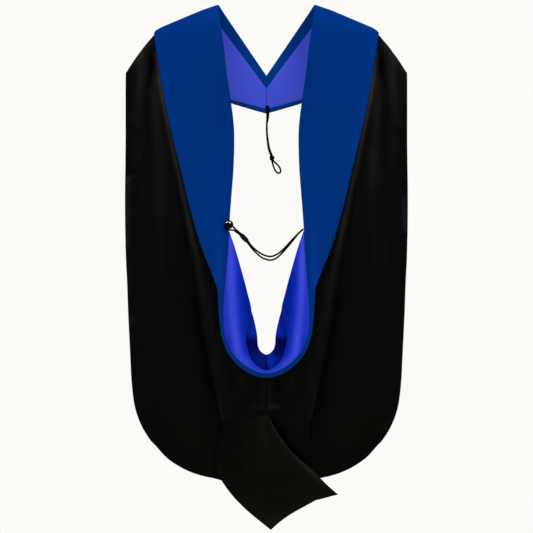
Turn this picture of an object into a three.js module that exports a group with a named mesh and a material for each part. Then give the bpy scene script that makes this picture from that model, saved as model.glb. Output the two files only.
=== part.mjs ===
// Doctoral academic hood as it hangs on a wearer, seen by its own sewn pieces.
// Millimetres, +Z up. The wearer faces +Y, so the hood's back faces -Y.
// The origin lies at the middle of the neck, level with the neck points.

import * as THREE from 'three';

// Overall sizes
const hoodWidth = 617;
const hoodLength = 1156;
const capeDrop = 1048;
const cowlDrop = 820;
const neckWidth = 212;
const neckDepth = 155;
const neckpieceHeight = 84;
const bandWidth = 139;
const lipWidth = 8.5;
const shoulderFall = 150;

// Form of the wearer's shoulders that the cloth lies on
const backDepth = 112;
const frontDepth = 90;
const backRoll = 170;
const frontRoll = 130;
const sideRoom = 6.5;

// Walls, clearances and fullness of the cloth
const capeWall = 1.6;
const cowlWall = 1.6;
const tailWall = 2.4;
const velvetWall = 2.4;
const liningWall = 1.0;
const seamGap = 0.35;
const liningGap = 0.5;
const bandCrown = 4;
const cowlSwell = 26;
const satinRoll = 11;
const capeFold = 6;
const liningShow = 1.0;

// Button, cord and slide
const buttonRadius = 9.4;
const shankRadius = 2.4;
const shankHeight = 5.8;
const cordDiameter = 2.8;
const slideLength = 22;
const slideWidth = 12;
const slideHeight = 7.6;
const knotRadius = 5;

const halfWidth = hoodWidth / 2;
const halfNeck = neckWidth / 2;

// Shoulder line seen from behind: out from the neck point, and how far it has fallen
const shoulderLine = [
  { out: 0.0, fall: 0.0 },
  { out: 0.34, fall: 0.0 },
  { out: 0.45, fall: 0.08 },
  { out: 0.6, fall: 0.21 },
  { out: 0.752, fall: 0.337 },
  { out: 0.788, fall: 0.381 },
  { out: 0.817, fall: 0.474 },
  { out: 0.862, fall: 0.578 },
  { out: 0.93, fall: 0.764 },
  { out: 1.0, fall: 0.98 },
];

// Band in front, from the centre seam up to the shoulder line. Falls and slips are
// measured below the shoulder line, spans run outwards from the inner edge. Facing and
// hem are the shares of the band's width that are folded in at its two edges.
const frontBand = [
  { inner: 0.0, fall: 1.0, span: 0.0, slip: 1.0, facing: 0.327, hem: 0.123 },
  { inner: 0.168, fall: 0.832, span: 0.15, slip: 1.18, facing: 0.226, hem: 0.085 },
  { inner: 0.43, fall: 0.57, span: 0.33, slip: 1.45, facing: 0.175, hem: 0.055 },
  { inner: 0.69, fall: 0.31, span: 0.58, slip: 1.43, facing: 0.157, hem: 0.06 },
  { inner: 0.866, fall: 0.135, span: 0.82, slip: 1.04, facing: 0.158, hem: 0.08 },
  { inner: 0.95, fall: 0.046, span: 0.96, slip: 0.51, facing: 0.16, hem: 0.1 },
  { inner: 0.985, fall: 0.011, span: 0.99, slip: 0.155, facing: 0.16, hem: 0.115 },
  { inner: 1.0, fall: 0.0, span: 1.015, slip: 0.0, facing: 0.16, hem: 0.115 },
];
const backFold = { facing: 0.16, hem: 0.115 };

// Band at the back, from the shoulder line down to the corner of the lip
const backBand = [
  { inner: 0.99, fall: 0.006, span: 1.02, slip: 0.0, lift: 0.0 },
  { inner: 0.97, fall: 0.027, span: 1.022, slip: 0.0, lift: 0.0 },
  { inner: 0.931, fall: 0.07, span: 1.022, slip: -0.02, lift: 0.0 },
  { inner: 0.875, fall: 0.122, span: 1.02, slip: -0.04, lift: 0.0 },
  { inner: 0.826, fall: 0.179, span: 1.01, slip: -0.05, lift: 0.0 },
  { inner: 0.741, fall: 0.254, span: 0.996, slip: -0.072, lift: 0.0 },
  { inner: 0.67, fall: 0.335, span: 0.964, slip: -0.13, lift: 0.02 },
  { inner: 0.676, fall: 0.429, span: 0.852, slip: -0.223, lift: 0.085 },
  { inner: 0.717, fall: 0.507, span: 0.712, slip: -0.173, lift: 0.16 },
  { inner: 0.757, fall: 0.578, span: 0.571, slip: -0.137, lift: 0.24 },
  { inner: 0.787, fall: 0.646, span: 0.428, slip: -0.1, lift: 0.35 },
  { inner: 0.819, fall: 0.701, span: 0.259, slip: 0.0, lift: 0.47 },
  { inner: 0.852, fall: 0.756, span: 0.12, slip: 0.019, lift: 0.59 },
];

// Lip round the U, from the corner down to the centre seam
const lip = [
  { inner: 0.875, fall: 0.799, span: 1.3, slip: 0.59, lift: 0.67 },
  { inner: 0.881, fall: 0.8415, span: 0.94, slip: 0.24, lift: 0.74 },
  { inner: 0.854, fall: 0.885, span: 0.7, slip: 0.33, lift: 0.82 },
  { inner: 0.74, fall: 0.9256, span: 0.58, slip: 0.72, lift: 0.89 },
  { inner: 0.556, fall: 0.955, span: 0.36, slip: 1.12, lift: 0.95 },
  { inner: 0.316, fall: 0.979, span: 0.09, slip: 1.14, lift: 0.99 },
  { inner: 0.0, fall: 0.9915, span: 0.0, slip: 0.98, lift: 1.0 },
];

// Cape's free edge beside the band, as shares of the half width and of the back roll
const capeShoulder = [
  { out: 0.94, fall: -0.34 },
  { out: 0.982, fall: -0.13 },
  { out: 1.003, fall: 0.0 },
  { out: 1.003, fall: 0.035 },
  { out: 1.003, fall: 0.13 },
  { out: 1.003, fall: 0.335 },
  { out: 1.003, fall: 0.59 },
  { out: 1.003, fall: 0.86 },
  { out: 1.005, fall: 1.2 },
  { out: 1.008, fall: 1.58 },
  { out: 1.007, fall: 2.03 },
];

// Cape below the band: its hidden root under the cowl and its free edge and hem
const capeBody = [
  { root: 0.596, rootFall: 0.4015, out: 1.002, fall: 0.53 },
  { root: 0.525, rootFall: 0.495, out: 0.993, fall: 0.585 },
  { root: 0.42, rootFall: 0.5965, out: 0.984, fall: 0.65 },
  { root: 0.363, rootFall: 0.7, out: 0.97, fall: 0.73 },
  { root: 0.311, rootFall: 0.765, out: 0.958, fall: 0.793 },
  { root: 0.266, rootFall: 0.822, out: 0.936, fall: 0.8415 },
  { root: 0.214, rootFall: 0.875, out: 0.895, fall: 0.8775 },
  { root: 0.18, rootFall: 0.913, out: 0.835, fall: 0.9085 },
  { root: 0.156, rootFall: 0.942, out: 0.74, fall: 0.942 },
  { root: 0.14, rootFall: 0.966, out: 0.61, fall: 0.971 },
  { root: 0.13, rootFall: 0.983, out: 0.46, fall: 0.989 },
  { root: 0.12, rootFall: 0.994, out: 0.311, fall: 1.0 },
];

// Soft vertical folds of a cape: across it, how wide, how deep, and from where to where
const capeFolds = [
  { across: 0.34, width: 0.09, depth: 0.7, from: 0.15, to: 0.7 },
  { across: 0.52, width: 0.07, depth: -0.5, from: 0.1, to: 0.85 },
  { across: 0.72, width: 0.09, depth: 1.0, from: 0.12, to: 1.0 },
  { across: 0.9, width: 0.07, depth: -0.6, from: 0.2, to: 0.95 },
];

// Cowl beside and under the band: its fold edge, and how proud the cloth stands
const cowlFold = [
  { out: 0.636, fall: 0.31, crest: 0.1, edge: 0.09 },
  { out: 0.625, fall: 0.372, crest: 0.25, edge: 0.1 },
  { out: 0.592, fall: 0.415, crest: 0.33, edge: 0.1 },
  { out: 0.553, fall: 0.467, crest: 0.37, edge: 0.1 },
  { out: 0.523, fall: 0.51, crest: 0.4, edge: 0.1 },
  { out: 0.494, fall: 0.554, crest: 0.42, edge: 0.1 },
  { out: 0.474, fall: 0.588, crest: 0.42, edge: 0.1 },
  { out: 0.456, fall: 0.6185, crest: 0.42, edge: 0.1 },
  { out: 0.437, fall: 0.644, crest: 0.42, edge: 0.1 },
  { out: 0.416, fall: 0.67, crest: 0.42, edge: 0.1 },
  { out: 0.397, fall: 0.692, crest: 0.42, edge: 0.1 },
  { out: 0.378, fall: 0.714, crest: 0.42, edge: 0.12 },
  { out: 0.356, fall: 0.74, crest: 0.42, edge: 0.16 },
];

// Cowl below the U, from the lip to the hem under the tail
const cowlFoot = [
  { fall: 0.7375, rise: 0.6, out: 0.337, foldFall: 0.7655, crest: 0.38, edge: 0.24 },
  { fall: 0.7754, rise: 0.31, out: 0.314, foldFall: 0.7917, crest: 0.31, edge: 0.31 },
  { fall: 0.7945, rise: 0.31, out: 0.311, foldFall: 0.8044, crest: 0.31, edge: 0.31 },
  { fall: 0.837, rise: 0.22, out: 0.318, foldFall: 0.8325, crest: 0.24, edge: 0.22 },
  { fall: 0.873, rise: 0.16, out: 0.337, foldFall: 0.864, crest: 0.2, edge: 0.12 },
  { fall: 0.891, rise: 0.12, out: 0.345, foldFall: 0.876, crest: 0.18, edge: 0.1 },
];

// Tail from the pinch down to its squared end: left edge, right edge, and their lifts
const tailSections = [
  { left: -0.308, leftFall: 0.795, right: 0.012, rightFall: 0.78, liftLeft: 0.0, liftRight: 0.0 },
  { left: -0.325, leftFall: 0.82, right: 0.1, rightFall: 0.824, liftLeft: 0.1, liftRight: 0.35 },
  { left: -0.355, leftFall: 0.86, right: 0.2, rightFall: 0.857, liftLeft: 0.1, liftRight: 0.6 },
  { left: -0.338, leftFall: 0.893, right: 0.3, rightFall: 0.881, liftLeft: 0.1, liftRight: 0.8 },
  { left: -0.258, leftFall: 0.928, right: 0.385, rightFall: 0.905, liftLeft: 0.1, liftRight: 0.9 },
  { left: -0.147, leftFall: 0.96, right: 0.44, rightFall: 0.92, liftLeft: 0.2, liftRight: 1.0 },
  { left: 0.031, leftFall: 1.0, right: 0.492, rightFall: 0.9325, liftLeft: 0.3, liftRight: 1.0 },
];
const tailTwist = 22;
const tailBow = 15;

// Satin turned out inside the lip: its free edge, then the hidden layer under it
const satinEdge = [
  { inner: 0.762, fall: 0.608 },
  { inner: 0.645, fall: 0.653 },
  { inner: 0.51, fall: 0.713 },
  { inner: 0.385, fall: 0.774 },
  { inner: 0.305, fall: 0.82 },
  { inner: 0.34, fall: 0.852 },
  { inner: 0.413, fall: 0.89 },
  { inner: 0.37, fall: 0.927 },
  { inner: 0.31, fall: 0.951 },
  { inner: 0.177, fall: 0.97 },
  { inner: 0.0, fall: 0.981 },
];
const underLayer = [
  { edge: 0.385, edgeFall: 0.774, back: 0.56, backFall: 0.784 },
  { edge: 0.31, edgeFall: 0.82, back: 0.57, backFall: 0.835 },
  { edge: 0.262, edgeFall: 0.843, back: 0.6, backFall: 0.865 },
  { edge: 0.195, edgeFall: 0.883, back: 0.6, backFall: 0.905 },
  { edge: 0.176, edgeFall: 0.913, back: 0.53, backFall: 0.945 },
  { edge: 0.142, edgeFall: 0.926, back: 0.4, backFall: 0.973 },
  { edge: 0.075, edgeFall: 0.935, back: 0.2, backFall: 0.99 },
  { edge: 0.0, edgeFall: 0.939, back: 0.0, backFall: 0.996 },
];
const underDepth = 12;

// Where each piece's width is divided
const capeStations = [0, 0.1, 0.22, 0.34, 0.45, 0.55, 0.65, 0.76, 0.86, 0.94, 1];
const cowlStations = [0, 0.22, 0.45, 0.64, 0.8, 0.93, 1];
const tailStations = [0, 0.14, 0.28, 0.42, 0.56, 0.7, 0.85, 1];
const satinStations = [0, 0.2, 0.42, 0.66, 0.87, 1];
const underStations = [0, 0.35, 0.7, 1];

const mix = (a, b, share) => a + (b - a) * share;

// Height of the shoulder line at a distance out from the centre
function shoulderHeight(x) {
  const out = Math.min(Math.abs(x) / halfWidth, 1);
  const next = Math.max(1, shoulderLine.findIndex((row) => row.out >= out));
  const low = shoulderLine[next - 1];
  const high = shoulderLine[next];
  const share = (out - low.out) / (high.out - low.out);
  return -shoulderFall * mix(low.fall, high.fall, share);
}

// How far the form reaches behind or before the shoulder line at x
function formDepth(x, drop) {
  const across = Math.min(Math.abs(x) / (halfWidth + sideRoom), 1);
  const depth = drop < 0 ? -frontDepth : backDepth;
  return depth * Math.sqrt(1 - across * across);
}

// Point of the form: x, and the drop below the shoulder line, negative in front
function formPoint(x, drop) {
  const roll = drop < 0 ? frontRoll : backRoll;
  const share = Math.min(Math.abs(drop) / roll, 1);
  const reach = Math.sqrt(1 - (1 - share) * (1 - share));
  return new THREE.Vector3(x, -formDepth(x, drop) * reach, shoulderHeight(x) - Math.abs(drop));
}

// Drop reached after turning by an angle over the shoulder line, negative in front
function dropAfterTurn(angle) {
  const roll = angle < 0 ? frontRoll : backRoll;
  const turned = Math.min(Math.abs(angle), Math.PI / 2);
  const below = Math.abs(angle) - turned;
  return Math.sign(angle) * roll * (1 - Math.cos(turned) + below);
}

// Outward direction of the form at the same place
function formNormal(x, drop) {
  const roll = drop < 0 ? frontRoll : backRoll;
  const share = Math.abs(drop) / roll;
  const turned = share < 1 ? Math.acos(1 - share) : Math.PI / 2 + share - 1;
  const angle = Math.sign(drop) * turned;
  const turnStep = 0.03;
  const sideStep = 4;
  const along = formPoint(x, dropAfterTurn(angle + turnStep));
  along.sub(formPoint(x, dropAfterTurn(angle - turnStep)));
  const across = formPoint(x + sideStep, drop).sub(formPoint(x - sideStep, drop));
  return along.cross(across).normalize();
}

// Place on the form, raised off it by a lift
function onForm(x, drop, lift) {
  return formPoint(x, drop).addScaledVector(formNormal(x, drop), lift);
}

// Closed wall of cloth through rows of under and upper points, upper on the outer side
function clothWall(under, upper) {
  const rows = under.length;
  const columns = under[0].length;
  const positions = [];
  for (const layer of [under, upper]) {
    for (const row of layer) {
      for (const point of row) {
        positions.push(point.x, point.y, point.z);
      }
    }
  }
  const low = (row, column) => row * columns + column;
  const high = (row, column) => rows * columns + low(row, column);
  const faces = [];
  const quad = (a, b, c, d) => faces.push(a, b, c, a, c, d);
  for (let row = 0; row + 1 < rows; row += 1) {
    for (let column = 0; column + 1 < columns; column += 1) {
      quad(high(row, column), high(row + 1, column), high(row + 1, column + 1), high(row, column + 1));
      quad(low(row, column), low(row, column + 1), low(row + 1, column + 1), low(row + 1, column));
    }
    quad(low(row, 0), low(row + 1, 0), high(row + 1, 0), high(row, 0));
    const last = columns - 1;
    quad(low(row, last), high(row, last), high(row + 1, last), low(row + 1, last));
  }
  for (let column = 0; column + 1 < columns; column += 1) {
    quad(low(0, column), high(0, column), high(0, column + 1), low(0, column + 1));
    const last = rows - 1;
    quad(low(last, column), low(last, column + 1), high(last, column + 1), high(last, column));
  }
  const geometry = new THREE.BufferGeometry();
  geometry.setAttribute('position', new THREE.Float32BufferAttribute(positions, 3));
  geometry.setIndex(faces);
  return facedOutwards(geometry);
}

// The same geometry with its faces turned out, whichever way its rows ran
function facedOutwards(geometry) {
  const position = geometry.getAttribute('position');
  const index = geometry.getIndex();
  const corner = [new THREE.Vector3(), new THREE.Vector3(), new THREE.Vector3()];
  let volume = 0;
  for (let face = 0; face < index.count; face += 3) {
    corner.forEach((point, k) => point.fromBufferAttribute(position, index.getX(face + k)));
    volume += corner[0].dot(corner[1].clone().cross(corner[2]));
  }
  if (volume < 0) {
    for (let face = 0; face < index.count; face += 3) {
      const first = index.getX(face);
      index.setX(face, index.getX(face + 1));
      index.setX(face + 1, first);
    }
  }
  return geometry;
}

// The piece for the other side
function mirrored(geometry) {
  const copy = geometry.clone();
  copy.scale(-1, 1, 1);
  return facedOutwards(copy);
}

// Wall between two edge lines, with its stations row by row. Each edge row has x and
// drop; lift(row, share) raises it.
function wallByRows(edges, stations, lift, from, to) {
  const layer = (extra) => edges.map(([a, b], row) => stations[row].map((share) =>
    onForm(mix(a.x, b.x, share), mix(a.drop, b.drop, share), lift(row, share) + extra)));
  return clothWall(layer(from), layer(to));
}

// The same wall with one set of stations for all its rows
function wallBetween(edges, stations, lift, from, to) {
  return wallByRows(edges, edges.map(() => stations), lift, from, to);
}

// A place on the left half, kept half a seam's gap from the centre line
const clearOfCentre = (x, drop) => ({ x: Math.min(x, -seamGap / 2), drop });

// The place across a seam from an edge: a gap outwards and a gap further down
const acrossSeam = (point) => ({
  x: point.x - seamGap,
  drop: point.drop + Math.sign(point.drop) * seamGap,
});

// Band's two edges on the left, row by row from the front seam to the bottom of the U
function bandEdges() {
  const frontRows = frontBand.map((row) => ({
    inner: { x: -halfNeck * row.inner, drop: -neckDepth * row.fall },
    span: bandWidth * row.span,
    slip: -neckpieceHeight * row.slip,
    lift: 0,
    fold: row,
  }));
  const backRows = backBand.map((row) => ({
    inner: { x: -halfNeck * row.inner, drop: cowlDrop * row.fall },
    span: bandWidth * row.span,
    slip: bandWidth * row.slip,
    lift: cowlSwell * row.lift,
    fold: backFold,
  }));
  const lipRows = lip.map((row) => ({
    inner: { x: -halfNeck * row.inner, drop: cowlDrop * row.fall },
    span: lipWidth * row.span,
    slip: lipWidth * row.slip,
    lift: cowlSwell * row.lift,
    fold: backFold,
  }));
  return [...frontRows, ...backRows, ...lipRows].map((row) => ({
    inner: clearOfCentre(row.inner.x, row.inner.drop),
    outer: clearOfCentre(row.inner.x - row.span, row.inner.drop + row.slip),
    lift: row.lift,
    stations: bandStations(row.fold),
  }));
}

// Where a band row's width is divided: the outer strips are folded in, the middle is lined
function bandStations({ facing, hem }) {
  const lined = 1 - hem - facing;
  return [0, facing, facing + lined / 3, facing + (lined * 2) / 3, 1 - hem, 1];
}

const band = bandEdges();
const ridgeRow = frontBand.length - 1;
const capeFirstRow = ridgeRow - 2;
const cowlFirstRow = ridgeRow + 8;
const lipFirstRow = frontBand.length + backBand.length;
const satinFirstRow = ridgeRow + 10;
const satinStart = 0.42;

// Rise of a band's middle above its two edges, less where it is narrow
function bandLift(row, share) {
  const width = Math.abs(band[row].outer.x - band[row].inner.x);
  const crown = bandCrown * Math.min(1, width / bandWidth) * Math.sin(Math.PI * share);
  return band[row].lift + (row > ridgeRow ? crown : 0);
}

const bandEdgeLines = band.map((row) => [row.inner, row.outer]);
const lastStation = band[0].stations.length - 1;
const liningTop = -liningGap;
const liningUnder = -liningGap - liningWall;

function velvetBand() {
  return wallByRows(bandEdgeLines, band.map((row) => row.stations), bandLift, 0, velvetWall);
}

// Strip of the band's underside, narrowed by the seam gap where strips meet side by side
function foldedStrip(lastRow, first, last) {
  const trim = seamGap / neckpieceHeight;
  const stations = band.slice(0, lastRow + 1).map((row) => {
    const cut = row.stations.slice(first, last + 1);
    cut[0] += first > 0 ? trim : 0;
    cut[cut.length - 1] -= last < lastStation ? trim : 0;
    return cut;
  });
  return wallByRows(bandEdgeLines.slice(0, lastRow + 1), stations, bandLift, liningUnder, liningTop);
}

// Cape: its edge on the band and its hidden root, against its free edge and hem
function capeEdges() {
  const upper = capeShoulder.map((row, k) => [
    acrossSeam(band[capeFirstRow + k].outer),
    { x: -halfWidth * row.out, drop: backRoll * row.fall },
  ]);
  const lower = capeBody.map((row) => {
    const rootX = -halfWidth * row.root;
    const outX = -halfWidth * row.out;
    return [
      { x: rootX, drop: capeDrop * row.rootFall + shoulderHeight(rootX) },
      { x: outX, drop: capeDrop * row.fall + shoulderHeight(outX) },
    ];
  });
  return [...upper, ...lower];
}

const capeRows = capeEdges();

// Folds of the cape, fading in and out along it
function capeLift(row, share) {
  const along = row / (capeRows.length - 1);
  let lift = 0;
  for (const fold of capeFolds) {
    const middle = (along - fold.from) / (fold.to - fold.from);
    const fade = middle > 0 && middle < 1 ? Math.sin(Math.PI * middle) : 0;
    const away = (share - fold.across) / fold.width;
    lift += capeFold * fold.depth * fade * Math.exp(-away * away);
  }
  return lift;
}

function capePanel() {
  return wallBetween(capeRows, capeStations, capeLift, 0, capeWall);
}

// The lining lies inside the cape and shows a little past its free edge
function capeLining() {
  const widest = halfWidth - Math.abs(capeRows[ridgeRow].at(0).x);
  const stations = [...capeStations, 1 + liningShow / widest];
  return wallBetween(capeRows, stations, capeLift, liningUnder, liningTop);
}

// Cowl: beside the lip's outer edge down to the U, then along the centre seam
const cowlRows = [
  ...cowlFold.map((row, k) => {
    const foldX = -halfWidth * row.out;
    return {
      inner: acrossSeam(band[cowlFirstRow + k].outer),
      fold: { x: foldX, drop: hoodLength * row.fall + shoulderHeight(foldX) },
      rise: band[cowlFirstRow + k].lift,
      crest: cowlSwell * row.crest,
      edge: cowlSwell * row.edge,
    };
  }),
  ...cowlFoot.map((row) => {
    const foldX = -halfWidth * row.out;
    return {
      inner: { x: -seamGap / 2, drop: hoodLength * row.fall },
      fold: { x: foldX, drop: hoodLength * row.foldFall + shoulderHeight(foldX) },
      rise: cowlSwell * row.rise,
      crest: cowlSwell * row.crest,
      edge: cowlSwell * row.edge,
    };
  }),
];
const cowlLiftFloor = capeWall + seamGap;

// Height of the cowl's cloth: proud at the lip, a rounded crest, down at the fold edge
function cowlLift(row, share) {
  const { rise, crest, edge } = cowlRows[row];
  const fallFrom = 0.8;
  const lift = share < fallFrom
    ? mix(rise, crest, Math.sin((Math.PI / 2) * (share / fallFrom)))
    : mix(crest, edge, ((share - fallFrom) / (1 - fallFrom)) ** 2);
  return Math.max(lift, cowlLiftFloor);
}

function cowlPanel() {
  const edges = cowlRows.map((row) => [row.inner, row.fold]);
  return wallBetween(edges, cowlStations, cowlLift, 0, cowlWall);
}

// Tail: laid over the pinch of the cowl, then turned and lifted towards its right corner
function tailPanel() {
  const base = cowlSwell * cowlFoot[1].rise + cowlWall + seamGap;
  const edges = tailSections.map((row) => {
    const leftX = halfWidth * row.left;
    const rightX = halfWidth * row.right;
    return [
      { x: leftX, drop: hoodLength * row.leftFall + shoulderHeight(leftX) },
      { x: rightX, drop: hoodLength * row.rightFall + shoulderHeight(rightX) },
    ];
  });
  const last = edges.length - 1;
  const layer = (extra) => edges.map(([a, b], row) => tailStations.map((share) => {
    const section = tailSections[row];
    const twist = tailTwist * mix(section.liftLeft, section.liftRight, share);
    const bow = row === last ? tailBow * Math.sin(Math.PI * share) * (1 - share) ** 2 : 0;
    const drop = mix(a.drop, b.drop, share) - bow;
    return onForm(mix(a.x, b.x, share), drop, base + twist + extra);
  }));
  return clothWall(layer(0), layer(tailWall));
}

// Both halves of a U-shaped strip, joined at the centre seam
function bothHalves(rows) {
  const other = rows.slice(0, -1).reverse();
  return [...rows, ...other.map((row) => ({ ...row, side: -row.side }))];
}

const satinRows = bothHalves(satinEdge.map((row, k) => {
  const above = band[satinFirstRow + k];
  const below = band[Math.min(satinFirstRow + k + 1, band.length - 1)];
  const share = k === 0 ? satinStart : 0;
  return {
    side: 1,
    seam: {
      x: -mix(above.inner.x, below.inner.x, share),
      drop: mix(above.inner.drop, below.inner.drop, share),
    },
    free: { x: halfNeck * row.inner, drop: cowlDrop * row.fall },
    lift: mix(above.lift, below.lift, share),
  };
}));

// Satin's rise: a soft roll outwards, then in at its free edge
const rollLean = 0.4;
const edgeSink = 0.5;
function satinLift(row, share) {
  const width = Math.abs(satinRows[row].seam.x - satinRows[row].free.x)
    + Math.abs(satinRows[row].seam.drop - satinRows[row].free.drop);
  const fullness = Math.min(1, width / halfNeck * 2);
  const roll = Math.sin(Math.PI * share) * (1 - rollLean * share) - edgeSink * share * share;
  return satinRows[row].lift + satinRoll * fullness * roll;
}

function cowlLining() {
  const edges = satinRows.map((row) => [
    { x: -row.side * Math.max(row.seam.x - seamGap, 0), drop: row.seam.drop - seamGap },
    { x: -row.side * row.free.x, drop: row.free.drop },
  ]);
  return wallBetween(edges, satinStations, satinLift, velvetWall - liningWall, velvetWall);
}

const underRows = bothHalves(underLayer.map((row) => ({
  side: 1,
  edge: { x: halfNeck * row.edge, drop: cowlDrop * row.edgeFall },
  back: { x: halfNeck * row.back, drop: cowlDrop * row.backFall },
})));

// The layer under the satin's free edge, which meets it where both begin
function cowlUnderLining() {
  const firstSatinRow = 3;
  const top = satinLift(firstSatinRow, 1) + velvetWall - liningWall - seamGap;
  const deep = (row) => {
    const fromEnd = Math.min(row, underRows.length - 1 - row);
    return top - underDepth * Math.min(1, fromEnd / 2);
  };
  const edges = underRows.map((row) => [
    { x: -row.side * row.edge.x, drop: row.edge.drop },
    { x: -row.side * row.back.x, drop: row.back.drop },
  ]);
  return wallBetween(edges, underStations, deep, -liningWall, 0);
}

// Button: a ball on a short shank, which leans in from the form's outward direction
const buttonSpot = { x: -halfNeck * 0.789, drop: cowlDrop * 0.5905 };
const buttonLean = THREE.MathUtils.degToRad(15);
const bandRiseThere = 0.29;
const buttonFace = cowlSwell * bandRiseThere + velvetWall + seamGap;

function ballButton() {
  const profile = [new THREE.Vector2(0, 0), new THREE.Vector2(shankRadius, 0)];
  const ballCentre = shankHeight + Math.sqrt(buttonRadius ** 2 - shankRadius ** 2);
  const startAngle = -Math.acos(shankRadius / buttonRadius);
  const ballSteps = 9;
  const ballSides = 14;
  for (let step = 0; step <= ballSteps; step += 1) {
    const angle = mix(startAngle, Math.PI / 2, step / ballSteps);
    const radius = step === ballSteps ? 0 : buttonRadius * Math.cos(angle);
    profile.push(new THREE.Vector2(radius, ballCentre + buttonRadius * Math.sin(angle)));
  }
  return new THREE.LatheGeometry(profile, ballSides);
}

// Routes of the cords, chosen points in millimetres
const backCordRoute = [
  [80.9, -118.3, -494.0], [76.4, -120.7, -497.9], [70.4, -122.1, -503.4], [52.8, -124.3, -521.9],
  [35.2, -124.6, -540.4], [22.0, -124.9, -550.2], [8.8, -125.0, -554.4], [-8.8, -124.8, -549.7],
  [-26.4, -124.1, -537.2], [-35.2, -123.6, -528.1], [-41.0, -122.1, -519.9], [-48.0, -121.6, -512.7],
  [-54.9, -121.1, -505.5], [-64.8, -120.6, -497.0], [-69.0, -120.4, -493.2], [-74.6, -120.2, -487.4],
  [-81.7, -120.1, -480.4], [-86.4, -119.9, -479.3], [-90.2, -119.7, -482.9], [-91.3, -119.7, -488.0],
  [-89.5, -119.8, -493.0], [-84.0, -120.1, -495.5], [-77.0, -120.4, -496.2], [-71.8, -120.5, -496.6],
  [-67.3, -120.6, -500.0], [-57.0, -121.1, -507.5], [-50.0, -121.6, -514.7], [-43.1, -122.1, -521.9],
  [-35.2, -122.2, -532.3], [-26.4, -123.6, -542.5], [-8.8, -124.6, -557.3], [8.8, -125.0, -562.3],
  [22.0, -124.8, -557.8], [35.2, -124.0, -546.0], [52.8, -122.3, -525.7], [70.4, -119.1, -504.0],
  [76.4, -117.7, -498.3], [80.9, -115.4, -494.4],
];
const loopStrandLeft = [
  [0.1, 86.9, -221.0], [1.5, 86.9, -232.0], [1.4, 86.4, -242.0], [1.4, 85.3, -250.8],
  [0.8, 84.8, -260.0], [0.6, 84.8, -274.0], [1.2, 84.9, -287.0], [2.6, 84.8, -301.0],
  [4.4, 84.8, -314.0], [7.4, 84.9, -324.6], [10.2, 84.9, -331.5],
];
const loopStrandRight = [
  [3.2, 86.8, -221.0], [4.6, 86.8, -232.0], [4.5, 86.9, -242.0], [3.5, 87.6, -250.8],
  [1.4, 87.8, -260.0], [1.2, 87.8, -274.0], [2.0, 87.8, -287.0], [3.9, 87.7, -301.0],
  [5.9, 87.6, -313.4], [9.3, 87.5, -323.6], [12.4, 87.4, -331.0],
];
const loopEnd = [
  [12.4, 87.2, -341.7], [13.5, 87.0, -348.3], [17.4, 86.6, -359.5], [21.3, 86.3, -366.5],
  [26.0, 86.0, -370.2], [30.3, 85.8, -368.6], [31.5, 85.5, -364.3], [28.8, 85.2, -357.3],
  [23.1, 85.0, -350.5], [17.4, 84.9, -345.4], [14.5, 84.8, -341.2],
];
const knotCentre = [12.1, 86.0, -336.5];
const slideCentre = [-49.0, -121.6, -513.7];
const slideTarget = [-57.9, -120.95, -504.5];

// Tube of a cord along its route
function cordTube(route, steps) {
  const sides = 8;
  const outline = new THREE.Shape();
  for (let side = 0; side < sides; side += 1) {
    const angle = (2 * Math.PI * side) / sides;
    const corner = [cordDiameter / 2 * Math.cos(angle), cordDiameter / 2 * Math.sin(angle)];
    if (side === 0) {
      outline.moveTo(...corner);
    } else {
      outline.lineTo(...corner);
    }
  }
  const points = route.map((point) => new THREE.Vector3(...point));
  const path = new THREE.CatmullRomCurve3(points, false, 'centripetal');
  return new THREE.ExtrudeGeometry(outline, { steps, extrudePath: path, bevelEnabled: false });
}

// Slide with one slot that both strands of the cord run through
function cordSlide() {
  const slotHalf = cordDiameter / 2 + 2 * seamGap;
  const slotReach = cordDiameter * 1.2 + seamGap;
  const body = new THREE.Shape();
  body.absellipse(0, 0, slideWidth / 2, slideHeight / 2, 0, 2 * Math.PI);
  const slot = new THREE.Path();
  slot.absellipse(0, 0, slotReach, slotHalf, 0, 2 * Math.PI);
  body.holes.push(slot);
  const bevel = 0.8;
  const depth = slideLength - 2 * bevel;
  const geometry = new THREE.ExtrudeGeometry(body, {
    depth, curveSegments: 8, bevelEnabled: true, bevelThickness: bevel, bevelSize: bevel,
    bevelOffset: -bevel, bevelSegments: 1,
  });
  geometry.translate(0, 0, -depth / 2);
  return geometry;
}

function cordKnot() {
  const knot = new THREE.SphereGeometry(knotRadius, 12, 9);
  knot.scale(0.95, 0.8, 1);
  return knot;
}

const finishes = {
  black: new THREE.MeshStandardMaterial({ color: 0x0b0b0c, roughness: 0.8, metalness: 0 }),
  velvet: new THREE.MeshStandardMaterial({ color: 0x00338a, roughness: 0.95, metalness: 0 }),
  satin: new THREE.MeshStandardMaterial({ color: 0x3440cc, roughness: 0.42, metalness: 0 }),
  lining: new THREE.MeshStandardMaterial({ color: 0x2a2f96, roughness: 0.5, metalness: 0 }),
  cord: new THREE.MeshStandardMaterial({ color: 0x08080a, roughness: 0.6, metalness: 0 }),
  button: new THREE.MeshStandardMaterial({ color: 0x060607, roughness: 0.2, metalness: 0 }),
};

const hood = new THREE.Group();

function add(name, geometry, finish) {
  const piece = new THREE.Mesh(geometry, finish.clone());
  piece.name = name;
  hood.add(piece);
  return piece;
}

function addPair(name, geometry, finish) {
  add(`${name}_left`, geometry, finish);
  add(`${name}_right`, mirrored(geometry), finish);
}

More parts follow.
